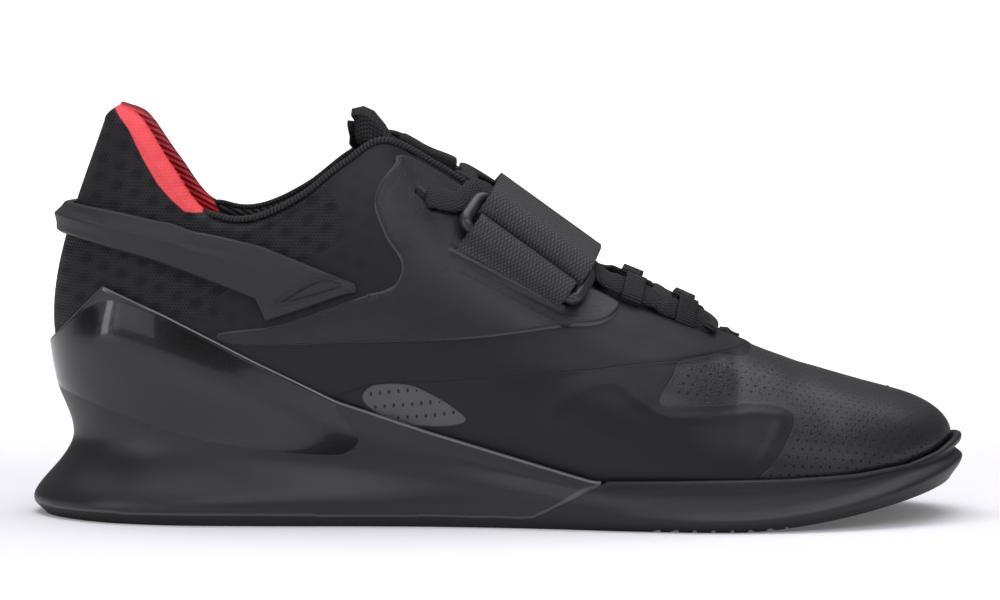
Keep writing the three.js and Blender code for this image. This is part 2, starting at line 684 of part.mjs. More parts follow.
function makeBand() {
  const lines = ['bottom', 'ridge', 'top'].map((name) => sideLine(bandRows, name));
  const shares = (angle) => {
    const [bottom, ridge, top] = lines.map((line) => shareOn(angle, line));
    return [bottom, (bottom + ridge) / 2, ridge, (ridge + top) / 2, top];
  };
  const rows = patch(-bandReach, bandReach, 32, shares);
  const relief = [0.72, 0.9, 1, 0.9, 0.72];
  rows.forEach((row) => row.forEach((place, j) => {
    const fade = Math.max(0, 1 - (Math.abs(place.angle) / bandReach) ** 2 * 1.4);
    place.height = bandThickness * relief[j] + bandRidge * fade * (j === 2 ? 1 : relief[j] - 0.4);
  }));
  return wallOnPatch(rows, ({ height }) => clearance + height, () => 2 * clearance);
}

// The leather saddle on one side, cut to its outline between two larger forms of the upper.
function makeSaddle(inner, outer, fromY, toY) {
  const curve = new THREE.SplineCurve(saddleRows.map(({ along, rise }) => (
    new THREE.Vector2(along * soleLength, rise * topHeight))));
  const outline = curve.getPoints(36).map(({ x, y }) => [x, y]);
  return outer.subtract(inner).intersect(sideBlock(outline, fromY, toY));
}

// Frame of the strap: along the throat, across the shoe and up from the instep.
const strapOrigin = new THREE.Vector3(11, 0, 91);
const strapAlong = new THREE.Vector3(0.814, 0, -0.581).normalize();
const strapUp = new THREE.Vector3(0.581, 0, 0.814).normalize();
const upperBar = new THREE.Vector2(-22.9, 1.9);
const lowerBar = new THREE.Vector2(-33.1, -8.2);

const inStrapFrame = (along, across, up) => strapOrigin.clone()
  .addScaledVector(strapAlong, along)
  .add(new THREE.Vector3(0, across, 0))
  .addScaledVector(strapUp, up);

// Carries a closed profile of the strap's cross-section along the throat.
function alongThroat(shape, length) {
  const block = extrude(shape, length);
  block.translate(0, 0, -length / 2);
  const place = new THREE.Matrix4().makeBasis(new THREE.Vector3(0, 1, 0), strapUp, strapAlong);
  place.setPosition(strapOrigin);
  block.applyMatrix4(place);
  return solidFromGeometry(block);
}

const circlePath = (centre, radius, corners = 12) => new THREE.Path(Array.from({ length: corners }, (_, i) => (
  new THREE.Vector2(radius, 0).rotateAround(new THREE.Vector2(), (2 * Math.PI * i) / corners).add(centre))));

// The strap goes from the inner side over the instep, round the ring's upper bar and back.
function makeStrap(underlay) {
  const foldRadius = barRadius + clearance + strapThickness;
  const double = 2 * strapThickness;
  const shape = new THREE.Shape();
  shape.moveTo(36.0, -31);
  shape.splineThru([[34.5, -15.5], [30.0, -9.5], [23.5, -3.6], [18.2, 2.4], [10, 5.0], [0, 5.8], [-10, 4.8],
    [-17.6, 2.2], [-20.6, -0.9]].map(([y, h]) => new THREE.Vector2(y, h)));
  shape.absarc(upperBar.x, upperBar.y, foldRadius, -0.9, 1.9, true);
  shape.splineThru([[-16, 4.9 + double * 0.6], [-8, 5.2 + double], [0, 5.8 + double], [10, 4.9 + double],
    [17.5, 2.2 + double], [21.5, -0.6 + double], [22.6, 0.6 + strapThickness], [27, -3.4 + strapThickness],
    [34.5, -9.8 + strapThickness], [39.6, -18], [41.2, -31]].map(([y, h]) => new THREE.Vector2(y, h)));
  shape.closePath();
  shape.holes.push(circlePath(upperBar, barRadius + clearance));
  return alongThroat(shape, strapWidth).subtract(underlay);
}

// The webbing that holds the ring: round its lower bar and down into the saddle.
function makeRingWebbing(underlay) {
  const radius = barRadius + clearance + webThickness;
  const tail = new THREE.Vector2(-34.2, -17.5);
  const shape = new THREE.Shape();
  shape.absarc(lowerBar.x, lowerBar.y, radius, 0, Math.PI, false);
  shape.lineTo(tail.x - radius * 0.9, tail.y);
  shape.lineTo(tail.x + radius, tail.y);
  shape.closePath();
  shape.holes.push(circlePath(lowerBar, barRadius + clearance));
  return alongThroat(shape, strapWidth).subtract(underlay);
}

// The ring: a round bar bent into a rectangle with rounded corners.
function makeRing() {
  const halfLong = ringLength / 2 - barRadius;
  const down = lowerBar.clone().sub(upperBar);
  const halfWide = down.length() / 2;
  const middle = upperBar.clone().add(lowerBar).multiplyScalar(0.5);
  const dir = down.normalize();
  const normal = inStrapFrame(0, dir.y, -dir.x).sub(strapOrigin);
  const centres = [[1, 1], [-1, 1], [-1, -1], [1, -1]];
  const arcSteps = 3;
  const rings = centres.flatMap(([u, v], corner) => Array.from({ length: arcSteps + 1 }, (_, i) => {
    const turn = (corner + i / arcSteps) * Math.PI / 2;
    const along = u * (halfLong - ringCorner) + ringCorner * Math.cos(turn);
    const wide = v * (halfWide - ringCorner) + ringCorner * Math.sin(turn);
    const centre = inStrapFrame(along, middle.x + dir.x * wide, middle.y + dir.y * wide);
    const out = inStrapFrame(Math.cos(turn), dir.x * Math.sin(turn), dir.y * Math.sin(turn)).sub(strapOrigin);
    return Array.from({ length: 8 }, (_, k) => k * Math.PI / 4).map((roll) => centre.clone()
      .addScaledVector(out, barRadius * Math.cos(roll))
      .addScaledVector(normal, barRadius * Math.sin(roll)));
  }));
  return solid(hoop(rings));
}

// Joins a closed row of rings into a hoop.
function hoop(rings) {
  const size = rings[0].length;
  const faces = [];
  rings.forEach((_, i) => {
    for (let j = 0; j < size; j += 1) {
      const nextRing = (i + 1) % rings.length;
      const next = (j + 1) % size;
      const [a, b, c, d] = [i * size + j, nextRing * size + j, nextRing * size + next, i * size + next];
      faces.push([a, b, c], [a, c, d]);
    }
  });
  return { points: rings.flat(), faces };
}

// A flat ribbon through points, its width lying across the direction named by ups.
function ribbon(stops, width, thickness, steps) {
  const curve = new THREE.CatmullRomCurve3(stops.map(({ point }) => point), false, 'centripetal');
  const lift = new THREE.CatmullRomCurve3(stops.map(({ up }) => up), false, 'centripetal');
  const rings = Array.from({ length: steps + 1 }, (_, i) => {
    const centre = curve.getPoint(i / steps);
    const along = curve.getTangent(i / steps);
    const across = along.clone().cross(lift.getPoint(i / steps)).normalize();
    const up = across.clone().cross(along).normalize();
    return [[1, 1], [-1, 1], [-1, -1], [1, -1]].map(([u, v]) => centre.clone()
      .addScaledVector(across, u * width / 2)
      .addScaledVector(up, v * thickness / 2));
  });
  return solid(loft(rings));
}

// Rows of the lace, from the vamp up: angle of the rib at the throat edge, and what the lace
// meets there.
const laceRows = [
  { angle: 2.030, at: 'vamp' },
  { angle: 1.975, at: 'loop' },
  { angle: 1.865, at: 'loop' },
  { angle: 1.700, at: 'tongue' },
  { angle: 1.550, at: 'tongue' },
  { angle: 1.460, at: 'slot' },
];
const laceSeat = {
  vamp: { share: 0.86, lift: 2 * clearance + laceThickness / 2 },
  loop: { share: 0.93, lift: 4 * clearance + loopThickness + laceThickness / 2 },
  slot: { share: 0.79, lift: 3 * clearance + saddleThickness + laceThickness / 2 },
};
// Half the straight stretch of lace at a row: at a loop the lace turns clear of the webbing.
const laceRun = { vamp: 0, loop: loopWidth / 2 + laceWidth / 2 + 4 * clearance, tongue: 0, slot: 0 };
const tongueLift = 5 * clearance + laceThickness / 2;

// Where the lace lies at a row: its centre, the way up from the shoe and the way along the throat.
function laceStop({ angle, at }, sideSign) {
  const turned = sideSign < 0 ? angle : 2 * Math.PI - angle;
  if (at === 'tongue') {
    const section = tongueSection(angle);
    const point = section[sideSign < 0 ? 5 : section.length - 6].clone().addScaledVector(strapUp, tongueLift);
    return { point, up: strapUp.clone(), along: strapAlong.clone() };
  }
  const { share, lift } = laceSeat[at];
  const up = upperNormal(turned, share);
  const along = upperPoint(angle + 0.03, share).sub(upperPoint(angle - 0.03, share)).normalize();
  if (sideSign > 0) along.y *= -1;
  return { point: upperPoint(turned, share).addScaledVector(up, lift), up, along };
}

const shifted = ({ point, up, along }, distance) => ({ point: point.clone().addScaledVector(along, distance), up, along });

// The middle of a lace bar: straight between its ends, or lifted to lie over the tongue.
function crossingStop(angle, ends) {
  const section = tongueSection(Math.min(angle, tongueAngles[tongueAngles.length - 1]));
  const crown = section[Math.floor(section.length / 2)].clone().addScaledVector(strapUp, tongueLift + clearance);
  const point = ends[0].point.clone().lerp(ends[1].point, 0.5);
  const short = crown.sub(point).dot(strapUp);
  return { point: point.addScaledVector(strapUp, Math.max(laceThickness / 4, short)), up: strapUp.clone() };
}

// From the throat's edge down to the slot: the stop above the edge.
function edgeStop(sideSign) {
  const { angle } = laceRows[laceRows.length - 1];
  const edge = laceStop({ angle, at: 'slot' }, sideSign);
  const turned = sideSign < 0 ? angle : 2 * Math.PI - angle;
  const up = edge.up.clone().lerp(strapUp, 0.5).normalize();
  return { point: upperPoint(turned, 1).addScaledVector(up, laceSeat.slot.lift + 2 * clearance), up };
}

function makeLaces(inner, tongueRoom) {
  const bars = [];
  laceRows.forEach((row, i) => {
    const run = laceRun[row.at];
    for (const sideSign of [-1, 1]) {
      const here = laceStop(row, sideSign);
      if (row.at === 'loop' || row.at === 'tongue') {
        const half = Math.max(run, laceWidth / 2);
        bars.push(ribbon([shifted(here, -half), shifted(here, half)], laceWidth, laceThickness, 1));
      }
      if (i === laceRows.length - 1) continue;
      const nextRow = laceRows[i + 1];
      const ends = [
        shifted(here, -run),
        shifted(laceStop(nextRow, -sideSign), laceRun[nextRow.at]),
      ];
      const edge = nextRow.at === 'slot' ? [edgeStop(-sideSign)] : [];
      const middle = crossingStop((row.angle + nextRow.angle) / 2, edge.length ? [ends[0], edge[0]] : ends);
      bars.push(ribbon([ends[0], middle, ...edge, ends[1]], laceWidth, laceThickness, 4 + 2 * edge.length));
    }
  });
  const ends = [laceStop(laceRows[0], -1), laceStop(laceRows[0], 1)];
  bars.push(ribbon([ends[0], crossingStop(laceRows[0].angle, ends), ends[1]], laceWidth, laceThickness, 4));
  const lace = bars.reduce((all, bar) => all.add(bar)).subtract(inner).subtract(tongueRoom);
  return lace.decompose().find((part) => part.volume() > lace.volume() / 2);
}

// A webbing loop: a flat ring round the lace, standing on the throat's edge.
function makeLoop(row, sideSign, inner) {
  const { point, up, along } = laceStop(row, sideSign);
  const across = up.clone().cross(along).normalize();
  const rectangle = (halfWide, halfHigh) => {
    const bevel = halfHigh * 0.7;
    return [[halfWide, halfHigh - bevel], [halfWide - bevel, halfHigh], [bevel - halfWide, halfHigh],
      [-halfWide, halfHigh - bevel], [-halfWide, bevel - halfHigh], [bevel - halfWide, -halfHigh],
      [halfWide - bevel, -halfHigh], [halfWide, bevel - halfHigh]].map(([x, y]) => new THREE.Vector2(x, y));
  };
  const innerWide = laceWidth / 2 + 4 * clearance;
  const innerHigh = laceThickness / 2 + 2 * clearance;
  const shape = new THREE.Shape(rectangle(innerWide + loopThickness, innerHigh + loopThickness));
  shape.holes.push(new THREE.Path(rectangle(innerWide, innerHigh)));
  const block = extrude(shape, loopWidth);
  block.translate(0, 0, -loopWidth / 2);
  const place = new THREE.Matrix4().makeBasis(across, up, across.clone().cross(up));
  block.applyMatrix4(place.setPosition(point));
  return solidFromGeometry(block).subtract(inner);
}

// Larger forms of the upper: what touches it, and what lies over the saddles.
const skin = footForm(clearance);
const saddleSkin = footForm(clearance + saddleThickness);
const underlay = footForm(2 * clearance + saddleThickness);
const tongueRoom = makeTongue(clearance);
const { outsole, heel } = makeSole(skin);
addPiece('outsole', outsole, 'rubber');
addPiece('heel_cradle', heel, 'plastic');
addPiece('upper', makeUpper(), 'leather');
addPiece('insole', makeInsole(), 'webbing');
addPiece('tongue', makeTongue(0), 'shell');
addPiece('tongue_tab', makeTongueTab(), 'webbing');
addPiece('heel_band', makeBand(), 'plastic');
addPiece('saddle_lateral', makeSaddle(skin, saddleSkin, -farAway, 0), 'leather');
addPiece('saddle_medial', makeSaddle(skin, saddleSkin, 0, farAway), 'leather');
addPiece('instep_strap', makeStrap(underlay), 'webbing');
addPiece('ring_webbing', makeRingWebbing(underlay), 'webbing');
addPiece('strap_ring', makeRing(), 'plastic');
const atEyestay = underlay.intersect(sideBlock([[-farAway, -farAway], [farAway, -farAway], [farAway, 0],
  [saddleRows[6].along * soleLength, farAway], [-farAway, farAway]], -farAway, farAway));
addPiece('laces', makeLaces(skin.add(atEyestay), tongueRoom), 'webbing');
for (const [i, row] of laceRows.filter(({ at }) => at === 'loop').entries()) {
  addPiece(`lace_loop_lateral_${i + 1}`, makeLoop(row, -1, skin), 'webbing');
  addPiece(`lace_loop_medial_${i + 1}`, makeLoop(row, 1, skin), 'webbing');
}

export default shoe;
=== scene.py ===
# %% [markdown]
# # A raised-heel training shoe
#
# A right shoe in black: a hollow upper with a honeycomb heel, smooth film zones and a perforated
# leather toe, a moulded heel part, a rubber sole, a strap through a ring and flat laces.
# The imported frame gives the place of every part. The looks are grids of points worked out here:
# sculpting would do as well, but a grid keeps to the sizes and can be made again.

import bpy
import numpy as np
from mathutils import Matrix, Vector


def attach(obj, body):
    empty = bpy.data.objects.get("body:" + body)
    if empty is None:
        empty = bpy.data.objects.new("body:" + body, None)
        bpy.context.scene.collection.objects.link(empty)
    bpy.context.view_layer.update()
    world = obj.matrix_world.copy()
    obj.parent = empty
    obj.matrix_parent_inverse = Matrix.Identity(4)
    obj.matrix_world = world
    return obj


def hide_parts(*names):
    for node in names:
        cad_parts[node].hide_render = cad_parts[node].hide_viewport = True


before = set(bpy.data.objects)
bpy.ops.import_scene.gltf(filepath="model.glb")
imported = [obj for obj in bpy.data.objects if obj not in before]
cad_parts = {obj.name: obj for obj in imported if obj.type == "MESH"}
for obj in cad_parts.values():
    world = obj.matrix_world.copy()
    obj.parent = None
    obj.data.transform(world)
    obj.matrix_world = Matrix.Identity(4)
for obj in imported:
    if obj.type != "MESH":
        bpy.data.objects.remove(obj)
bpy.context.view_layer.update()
print("frame:", sorted(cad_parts))

# %% [markdown]
# The sizes of the shoe, in millimetres, are the CAD part's own. Every visual piece is laid on the
# same foot form and the same sole form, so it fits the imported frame. Measuring the frame's meshes
# would work too, but the named sizes say what each number means.

# %% Sizes
LAST_LENGTH = 277.0
LAST_WIDTH = 94.0
LAST_HEEL_X = -134.0
HEEL_SEAT = 34.0
BALL_SEAT = 11.0
TOP_HEIGHT = 132.0
COLLAR_HALF = 30.0
SOLE_LENGTH = 300.0
SOLE_WIDTH = 110.5
TOE_SPRING = 13.0
SPRING_START = 75.0
SPRING_POWER = 1.6
SEAT_SPRING_SHARE = 0.62
UPPER_WALL = 2.0
COLLAR_PAD = 6.0
SOLE_RIM_WALL = 2.6
SOLE_EDGE_INSET = 4.0
CLEARANCE = 0.3
THROAT_END = 2 * np.pi / 3
RIDGE_FALL = -0.2
LATERAL, MEDIAL = -1, 1


def rows(columns, values):
    """Turns a short table into a dictionary of columns."""
    return dict(zip(columns.split(), np.array(values, float).T))


print("foot form:", LAST_LENGTH, "mm long in a sole of", SOLE_LENGTH, "mm")

# %% [markdown]
# The upper is drawn by three tables. at is the place along the foot form, 0 at the heel and 1 at the
# toe. FEATHER is its bottom edge (half breadths, and how far the foot bed is raised), TOP its top
# line, and BULGE how each rib between them swells. Drawn curves could do this as well, but a row
# for each cross-section is easy to read and to change.

# %% Tables of the upper
FEATHER = rows("at lateral medial seat", [
    (0.00, 0.000, 0.000, 1.00),
    (0.05, 0.225, 0.225, 1.00),
    (0.10, 0.303, 0.303, 1.00),
    (0.20, 0.352, 0.342, 0.97),
    (0.35, 0.378, 0.314, 0.74),
    (0.50, 0.430, 0.322, 0.34),
    (0.62, 0.489, 0.404, 0.06),
    (0.70, 0.505, 0.468, 0.00),
    (0.78, 0.479, 0.495, 0.00),
    (0.86, 0.404, 0.468, 0.00),
    (0.93, 0.277, 0.394, 0.00),
    (1.00, -0.096, 0.096, 0.00),
])
TOP = rows("at reach rise span centre roll", [
    (0.000, 0.043, 1.000, 0.00, 0.00, 0.19),
    (0.020, 0.051, 0.994, 0.31, 0.00, 0.19),
    (0.060, 0.073, 0.966, 0.61, 0.00, 0.19),
    (0.120, 0.107, 0.860, 0.83, 0.00, 0.18),
    (0.180, 0.146, 0.755, 0.95, 0.00, 0.16),
    (0.250, 0.202, 0.735, 1.00, 0.00, 0.14),
    (0.310, 0.260, 0.792, 0.97, 0.00, 0.11),
    (0.360, 0.307, 0.868, 0.89, 0.01, 0.08),
    (0.405, 0.352, 0.919, 0.78, 0.01, 0.05),
    (0.450, 0.412, 0.858, 0.67, 0.02, 0.04),
    (0.520, 0.495, 0.735, 0.58, 0.03, 0.04),
    (0.600, 0.581, 0.598, 0.53, 0.05, 0.04),
    (0.660, 0.650, 0.534, 0.45, 0.06, 0.04),
    (0.710, 0.706, 0.482, 0.30, 0.07, 0.03),
    (0.750, 0.749, 0.445, 0.00, 0.07, 0.00),
    (0.800, 0.794, 0.405, 0.00, 0.11, 0.00),
    (0.860, 0.848, 0.367, 0.00, 0.17, 0.00),
    (0.920, 0.894, 0.338, 0.00, 0.22, 0.00),
    (0.970, 0.925, 0.320, 0.00, 0.27, 0.00),
    (1.000, 0.938, 0.312, 0.00, 0.30, 0.00),
])
BULGE = rows("at swell lift shoulder fall", [
    (0.00, 0.213, 0.265, 0.130, 0.36),
    (0.05, 0.190, 0.280, 0.100, 0.36),
    (0.12, 0.120, 0.300, 0.050, 0.34),
    (0.20, 0.080, 0.340, 0.020, 0.32),
    (0.30, 0.070, 0.340, 0.060, 0.32),
    (0.40, 0.080, 0.340, 0.150, 0.32),
    (0.50, 0.090, 0.340, 0.210, 0.24),
    (0.60, 0.100, 0.380, 0.240, 0.12),
    (0.70, 0.090, 0.420, 0.260, 0.04),
    (0.78, 0.080, 0.460, 0.260, 0.00),
    (0.86, 0.080, 0.480, 0.230, 0.00),
    (0.93, 0.095, 0.480, 0.190, 0.00),
    (1.00, 0.110, 0.460, 0.160, 0.00),
])
print("rows round the foot:", len(FEATHER["at"]), "and along the top line:", len(TOP["at"]))

# %% [markdown]
# The sole has its own three: BASE is its outline from above, SIDE the heights of its widest line and
# its waist and how far the waist stands out, and RIM the upper edge in the side view, with x as a
# share of the sole's length and z as a share of the shoe's height.

# %% Tables of the sole
BASE = rows("at lateral medial", [
    (0.00, 0.000, 0.000),
    (0.03, 0.205, 0.205),
    (0.08, 0.326, 0.317),
    (0.15, 0.389, 0.380),
    (0.25, 0.398, 0.371),
    (0.35, 0.389, 0.335),
    (0.45, 0.394, 0.326),
    (0.55, 0.430, 0.362),
    (0.64, 0.480, 0.425),
    (0.72, 0.502, 0.480),
    (0.80, 0.475, 0.498),
    (0.88, 0.389, 0.462),
    (0.94, 0.271, 0.376),
    (1.00, -0.081, 0.081),
])
SIDE = rows("at flare waist stand", [
    (0.00, 0.15, 0.74, 0.024),
    (0.03, 0.15, 0.73, 0.024),
    (0.10, 0.16, 0.71, 0.023),
    (0.20, 0.17, 0.67, 0.026),
    (0.30, 0.17, 0.58, 0.032),
    (0.40, 0.17, 0.48, 0.038),
    (0.50, 0.15, 0.36, 0.044),
    (0.60, 0.12, 0.25, 0.050),
    (0.66, 0.11, 0.21, 0.050),
    (0.78, 0.11, 0.21, 0.048),
    (0.86, 0.12, 0.22, 0.046),
    (0.92, 0.14, 0.24, 0.044),
    (0.97, 0.18, 0.27, 0.042),
    (1.00, 0.21, 0.29, 0.040),
])
RIM = rows("along rise", [
    (-0.500, 0.386),
    (-0.489, 0.394),
    (-0.418, 0.562),
    (-0.355, 0.500),
    (-0.260, 0.391),
    (-0.171, 0.294),
    (-0.077, 0.226),
    (0.015, 0.166),
    (0.100, 0.112),
    (0.215, 0.117),
    (0.300, 0.118),
    (0.375, 0.124),
    (0.430, 0.139),
    (0.465, 0.162),
    (0.490, 0.195),
    (0.500, 0.198),
])
print("rows round the sole:", len(BASE["at"]), "and along its rim:", len(RIM["along"]))

# %% [markdown]
# Two pieces lie on the upper: the moulded band round the heel, given by three lines of the side
# view, and the leather saddle of the quarter, given by its closed outline there. On the real shoe
# both are made flat or moulded and then stitched on, so an outline is all that they need.

# %% Tables of the overlays
BAND = rows("along top ridge bottom", [
    (-0.500, 0.745, 0.725, 0.683),
    (-0.455, 0.757, 0.720, 0.681),
    (-0.430, 0.754, 0.711, 0.670),
    (-0.365, 0.728, 0.680, 0.632),
    (-0.280, 0.684, 0.633, 0.562),
    (-0.254, 0.670, 0.612, 0.538),
    (-0.249, 0.667, 0.586, 0.486),
    (-0.166, 0.594, 0.578, 0.552),
    (-0.150, 0.580, 0.570, 0.560),
])
SADDLE = rows("along rise", [
    (-0.268, 0.432),
    (-0.150, 0.442),
    (-0.043, 0.452),
    (0.065, 0.480),
    (0.105, 0.487),
    (0.122, 0.505),
    (0.126, 0.526),
    (0.110, 0.548),
    (0.086, 0.575),
    (0.060, 0.640),
    (-0.010, 0.760),
    (-0.085, 0.868),
    (-0.107, 0.884),
    (-0.110, 0.866),
    (-0.122, 0.834),
    (-0.130, 0.800),
    (-0.132, 0.765),
    (-0.119, 0.690),
    (-0.104, 0.640),
    (-0.104, 0.602),
    (-0.116, 0.570),
    (-0.156, 0.543),
    (-0.230, 0.482),
    (-0.296, 0.459),
])
print("corners of the saddle:", len(SADDLE["along"]))

# %% [markdown]
# A row of a table names a place along the foot. Turning once round the shoe, angle 0 is the heel
# and pi is the toe, with the outer side first; a smooth closed curve joins the rows. Blender's own
# curve objects could carry the rows, but plain functions can be asked for a place at any angle.


# %% Curves through the tables
def round_the_shoe(at, lateral, medial):
    """Smooth closed curve through the rows: each knot's slope is the mean of its two neighbours."""
    turn = np.arccos(1 - 2 * at)
    knots = np.concatenate([turn, 2 * np.pi - turn[1:-1][::-1]])
    values = np.concatenate([lateral, medial[1:-1][::-1]])
    step = np.mod(np.roll(knots, -1) - knots, 2 * np.pi)
    rise = (np.roll(values, -1) - values) / step
    before, rise_before = np.roll(step, 1), np.roll(rise, 1)
    slope = (rise_before * step + rise * before) / (before + step)

    def value(angle):
        turned = np.mod(angle, 2 * np.pi)
        i = np.searchsorted(knots, turned, side="right") - 1
        n = (i + 1) % len(knots)
        t = (turned - knots[i]) / step[i]
        return (values[i] * (1 + 2 * t) * (1 - t) ** 2 + slope[i] * step[i] * t * (1 - t) ** 2
                + values[n] * t * t * (3 - 2 * t) + slope[n] * step[i] * t * t * (t - 1))

    return value


def column(table, name):
    """A column that is the same on both sides."""
    return round_the_shoe(table["at"], table[name], table[name])


def breadth(table, size):
    """The outer side lies at minus Y and the inner side at plus Y."""
    return round_the_shoe(table["at"], -table["lateral"] * size, table["medial"] * size)


def side_line(table, name):
    """A line of the side view, straight from row to row: height at a place along the shoe."""
    return lambda x: TOP_HEIGHT * np.interp(x / SOLE_LENGTH, table["along"], table[name])


def smoothstep(x, low, high):
    """Rises gently from 0 at low to 1 at high."""
    t = np.clip((x - low) / (high - low), 0, 1)
    return t * t * (3 - 2 * t)


def spring(x):
    """Height of the sole's bottom: flat to the ball, then a power curve up to the toe."""
    return TOE_SPRING * (np.maximum(0, x - SPRING_START) / (SOLE_LENGTH / 2 - SPRING_START)) ** SPRING_POWER


def unit(vectors):
    """Vectors scaled to length 1."""
    return vectors / np.maximum(np.linalg.norm(vectors, axis=-1, keepdims=True), 1e-9)


foot_y = breadth(FEATHER, LAST_WIDTH)
foot_seat = column(FEATHER, "seat")
top_column = {name: column(TOP, name) for name in ("reach", "rise", "span", "centre", "roll")}
bulge_column = {name: column(BULGE, name) for name in ("swell", "lift", "shoulder", "fall")}
base_y = breadth(BASE, SOLE_WIDTH)
side_column = {name: column(SIDE, name) for name in ("flare", "waist", "stand")}
RIDGE_START = THROAT_END - 1e-6
print("breadth at the ball:", round(float(foot_y(2 * np.pi - 1.98) - foot_y(1.98)), 1), "mm")

# %% [markdown]
# Two closed lines bound the upper: its bottom edge, where a maker pulls it over the foot form, and
# its top line, which is the collar, then the throat's edge, then the ridge of the vamp. All that
# follows hangs between them.


# %% Bottom edge and top line
def foot_point(angle):
    """Bottom edge of the upper: x swings with the cosine, z blends ball seat into heel seat."""
    x = LAST_HEEL_X + LAST_LENGTH * (1 - np.cos(angle)) / 2
    z = BALL_SEAT + (HEEL_SEAT - BALL_SEAT) * foot_seat(angle) + SEAT_SPRING_SHARE * spring(x)
    return np.stack([x, foot_y(angle), z], -1)


def level_normal(place, angle):
    """Level direction away from the foot: a quarter turn from the outline's own direction."""
    along = place(angle + 0.01) - place(angle - 0.01)
    return unit(np.stack([along[..., 1], -along[..., 0], np.zeros_like(along[..., 0])], -1))


def fold(angle):
    """The same place on the outer side, for an angle on either side."""
    turned = np.mod(angle, 2 * np.pi)
    return np.minimum(turned, 2 * np.pi - turned)


def side_of(angle):
    """Minus one on the outer side and plus one on the inner side."""
    return np.where(np.mod(angle, 2 * np.pi) <= np.pi, LATERAL, MEDIAL)


def top_point(angle):
    """Top line of the upper: collar, throat edge, then the ridge of the vamp."""
    folded = fold(angle)
    span = np.where(folded >= RIDGE_START, 0, np.maximum(0, top_column["span"](angle)))
    return np.stack([LAST_HEEL_X + LAST_LENGTH * top_column["reach"](folded),
                     COLLAR_HALF * (top_column["centre"](folded) + side_of(angle) * span),
                     TOP_HEIGHT * top_column["rise"](folded)], -1)


print("top of the heel:", top_point(np.array(0.0)).round(1), "mm")

# %% [markdown]
# The skin between the two lines is made of ribs, one for each angle. Subdivision surfaces would give
# a skin from few points too, but a rib is a formula: every panel, lace and strap below can ask it
# for a place and for the way out of the shoe, and so lies on the upper exactly.


# %% The skin of the upper
def upper_point(angle, share):
    """Outer surface of the upper. A rib is a cubic curve from the bottom edge to the top line,
    then a quarter circle over the rolled edge; share 0 is the bottom and 1 the top."""
    angle, share = np.broadcast_arrays(np.asarray(angle, float), np.asarray(share, float))
    foot, top, out = foot_point(angle), top_point(angle), level_normal(foot_point, angle)
    height = top[..., 2] - foot[..., 2]
    roll = np.maximum(0, top_column["roll"](angle)) * COLLAR_HALF * (fold(angle) < RIDGE_START)
    edge = top + out * roll[..., None]
    edge[..., 2] -= roll
    shoulder = bulge_column["shoulder"](angle) * LAST_WIDTH
    low = foot + out * (bulge_column["swell"](angle) * LAST_WIDTH)[..., None]
    low[..., 2] = foot[..., 2] + bulge_column["lift"](angle) * height
    high = edge + out * shoulder[..., None]
    high[..., 2] = (edge[..., 2] - bulge_column["fall"](angle) * height
                    + RIDGE_FALL * shoulder * np.maximum(0, out[..., 0]) * (roll == 0))
    turn = 1 - 0.16 * np.minimum(1, roll / 2)
    t = np.minimum(1, share / turn)[..., None]
    rib = foot * (1 - t) ** 3 + 3 * low * t * (1 - t) ** 2 + 3 * high * t * t * (1 - t) + edge * t ** 3
    bend = np.clip((share - turn) / np.maximum(1 - turn, 1e-9), 0, 1) * np.pi / 2
    rolled = top + out * (roll * np.cos(bend) ** 2)[..., None]
    rolled[..., 2] -= roll * (1 - np.sin(bend))
    return np.where((share <= turn)[..., None], rib, rolled)


def upper_normal(angle, share):
    """Outward direction: the cross product of the ways round and up the surface."""
    angle, share = np.broadcast_arrays(np.asarray(angle, float), np.asarray(share, float))
    small = 0.004
    up = upper_point(angle, np.minimum(1, share + small)) - upper_point(angle, np.maximum(0, share - small))
    along = upper_point(angle + small, share) - upper_point(angle - small, share)
    return unit(np.cross(along, up))


def share_on(angle, line):
    """Share of each rib at which it passes a line of the side view, by halving."""
    low, high = np.zeros_like(angle), np.ones_like(angle)
    for _ in range(24):
        middle = (low + high) / 2
        point = upper_point(angle, middle)
        below = point[..., 2] < line(point[..., 0])
        low, high = np.where(below, middle, low), np.where(below, high, middle)
    return (low + high) / 2


def wall_at(angle, share):
    """Wall of the upper: thin, with padding that swells below the collar edge."""
    ankle = smoothstep(fold(angle), 1.05, 1.35)
    swell = np.exp(-(((1 - share) * 3.2 - 0.55) ** 2) / 0.14)
    return UPPER_WALL + COLLAR_PAD * (1 - ankle) * swell


print("ball of the foot:", upper_point(np.array(1.9), np.array(0.3)).round(1), "mm")


# %% [markdown]
# A piece is a grid of points. Each helper below turns grids into one mesh: faces between
# neighbouring rows, points that fall together joined, and named values kept at the points. The
# bmesh module could build the faces one by one; whole arrays are much faster.


# %% Grids into meshes
def grid_faces(count_u, count_v, closed_u=False, start=0):
    """Square faces of a grid whose points run along v first; closed_u joins the last row to the first."""
    u = np.arange(count_u if closed_u else count_u - 1)
    v = np.arange(count_v - 1)
    a, b = np.meshgrid(u, v, indexing="ij")
    n = (a + 1) % count_u
    corners = [a * count_v + b, n * count_v + b, n * count_v + b + 1, a * count_v + b + 1]
    return start + np.stack(corners, -1).reshape(-1, 4)


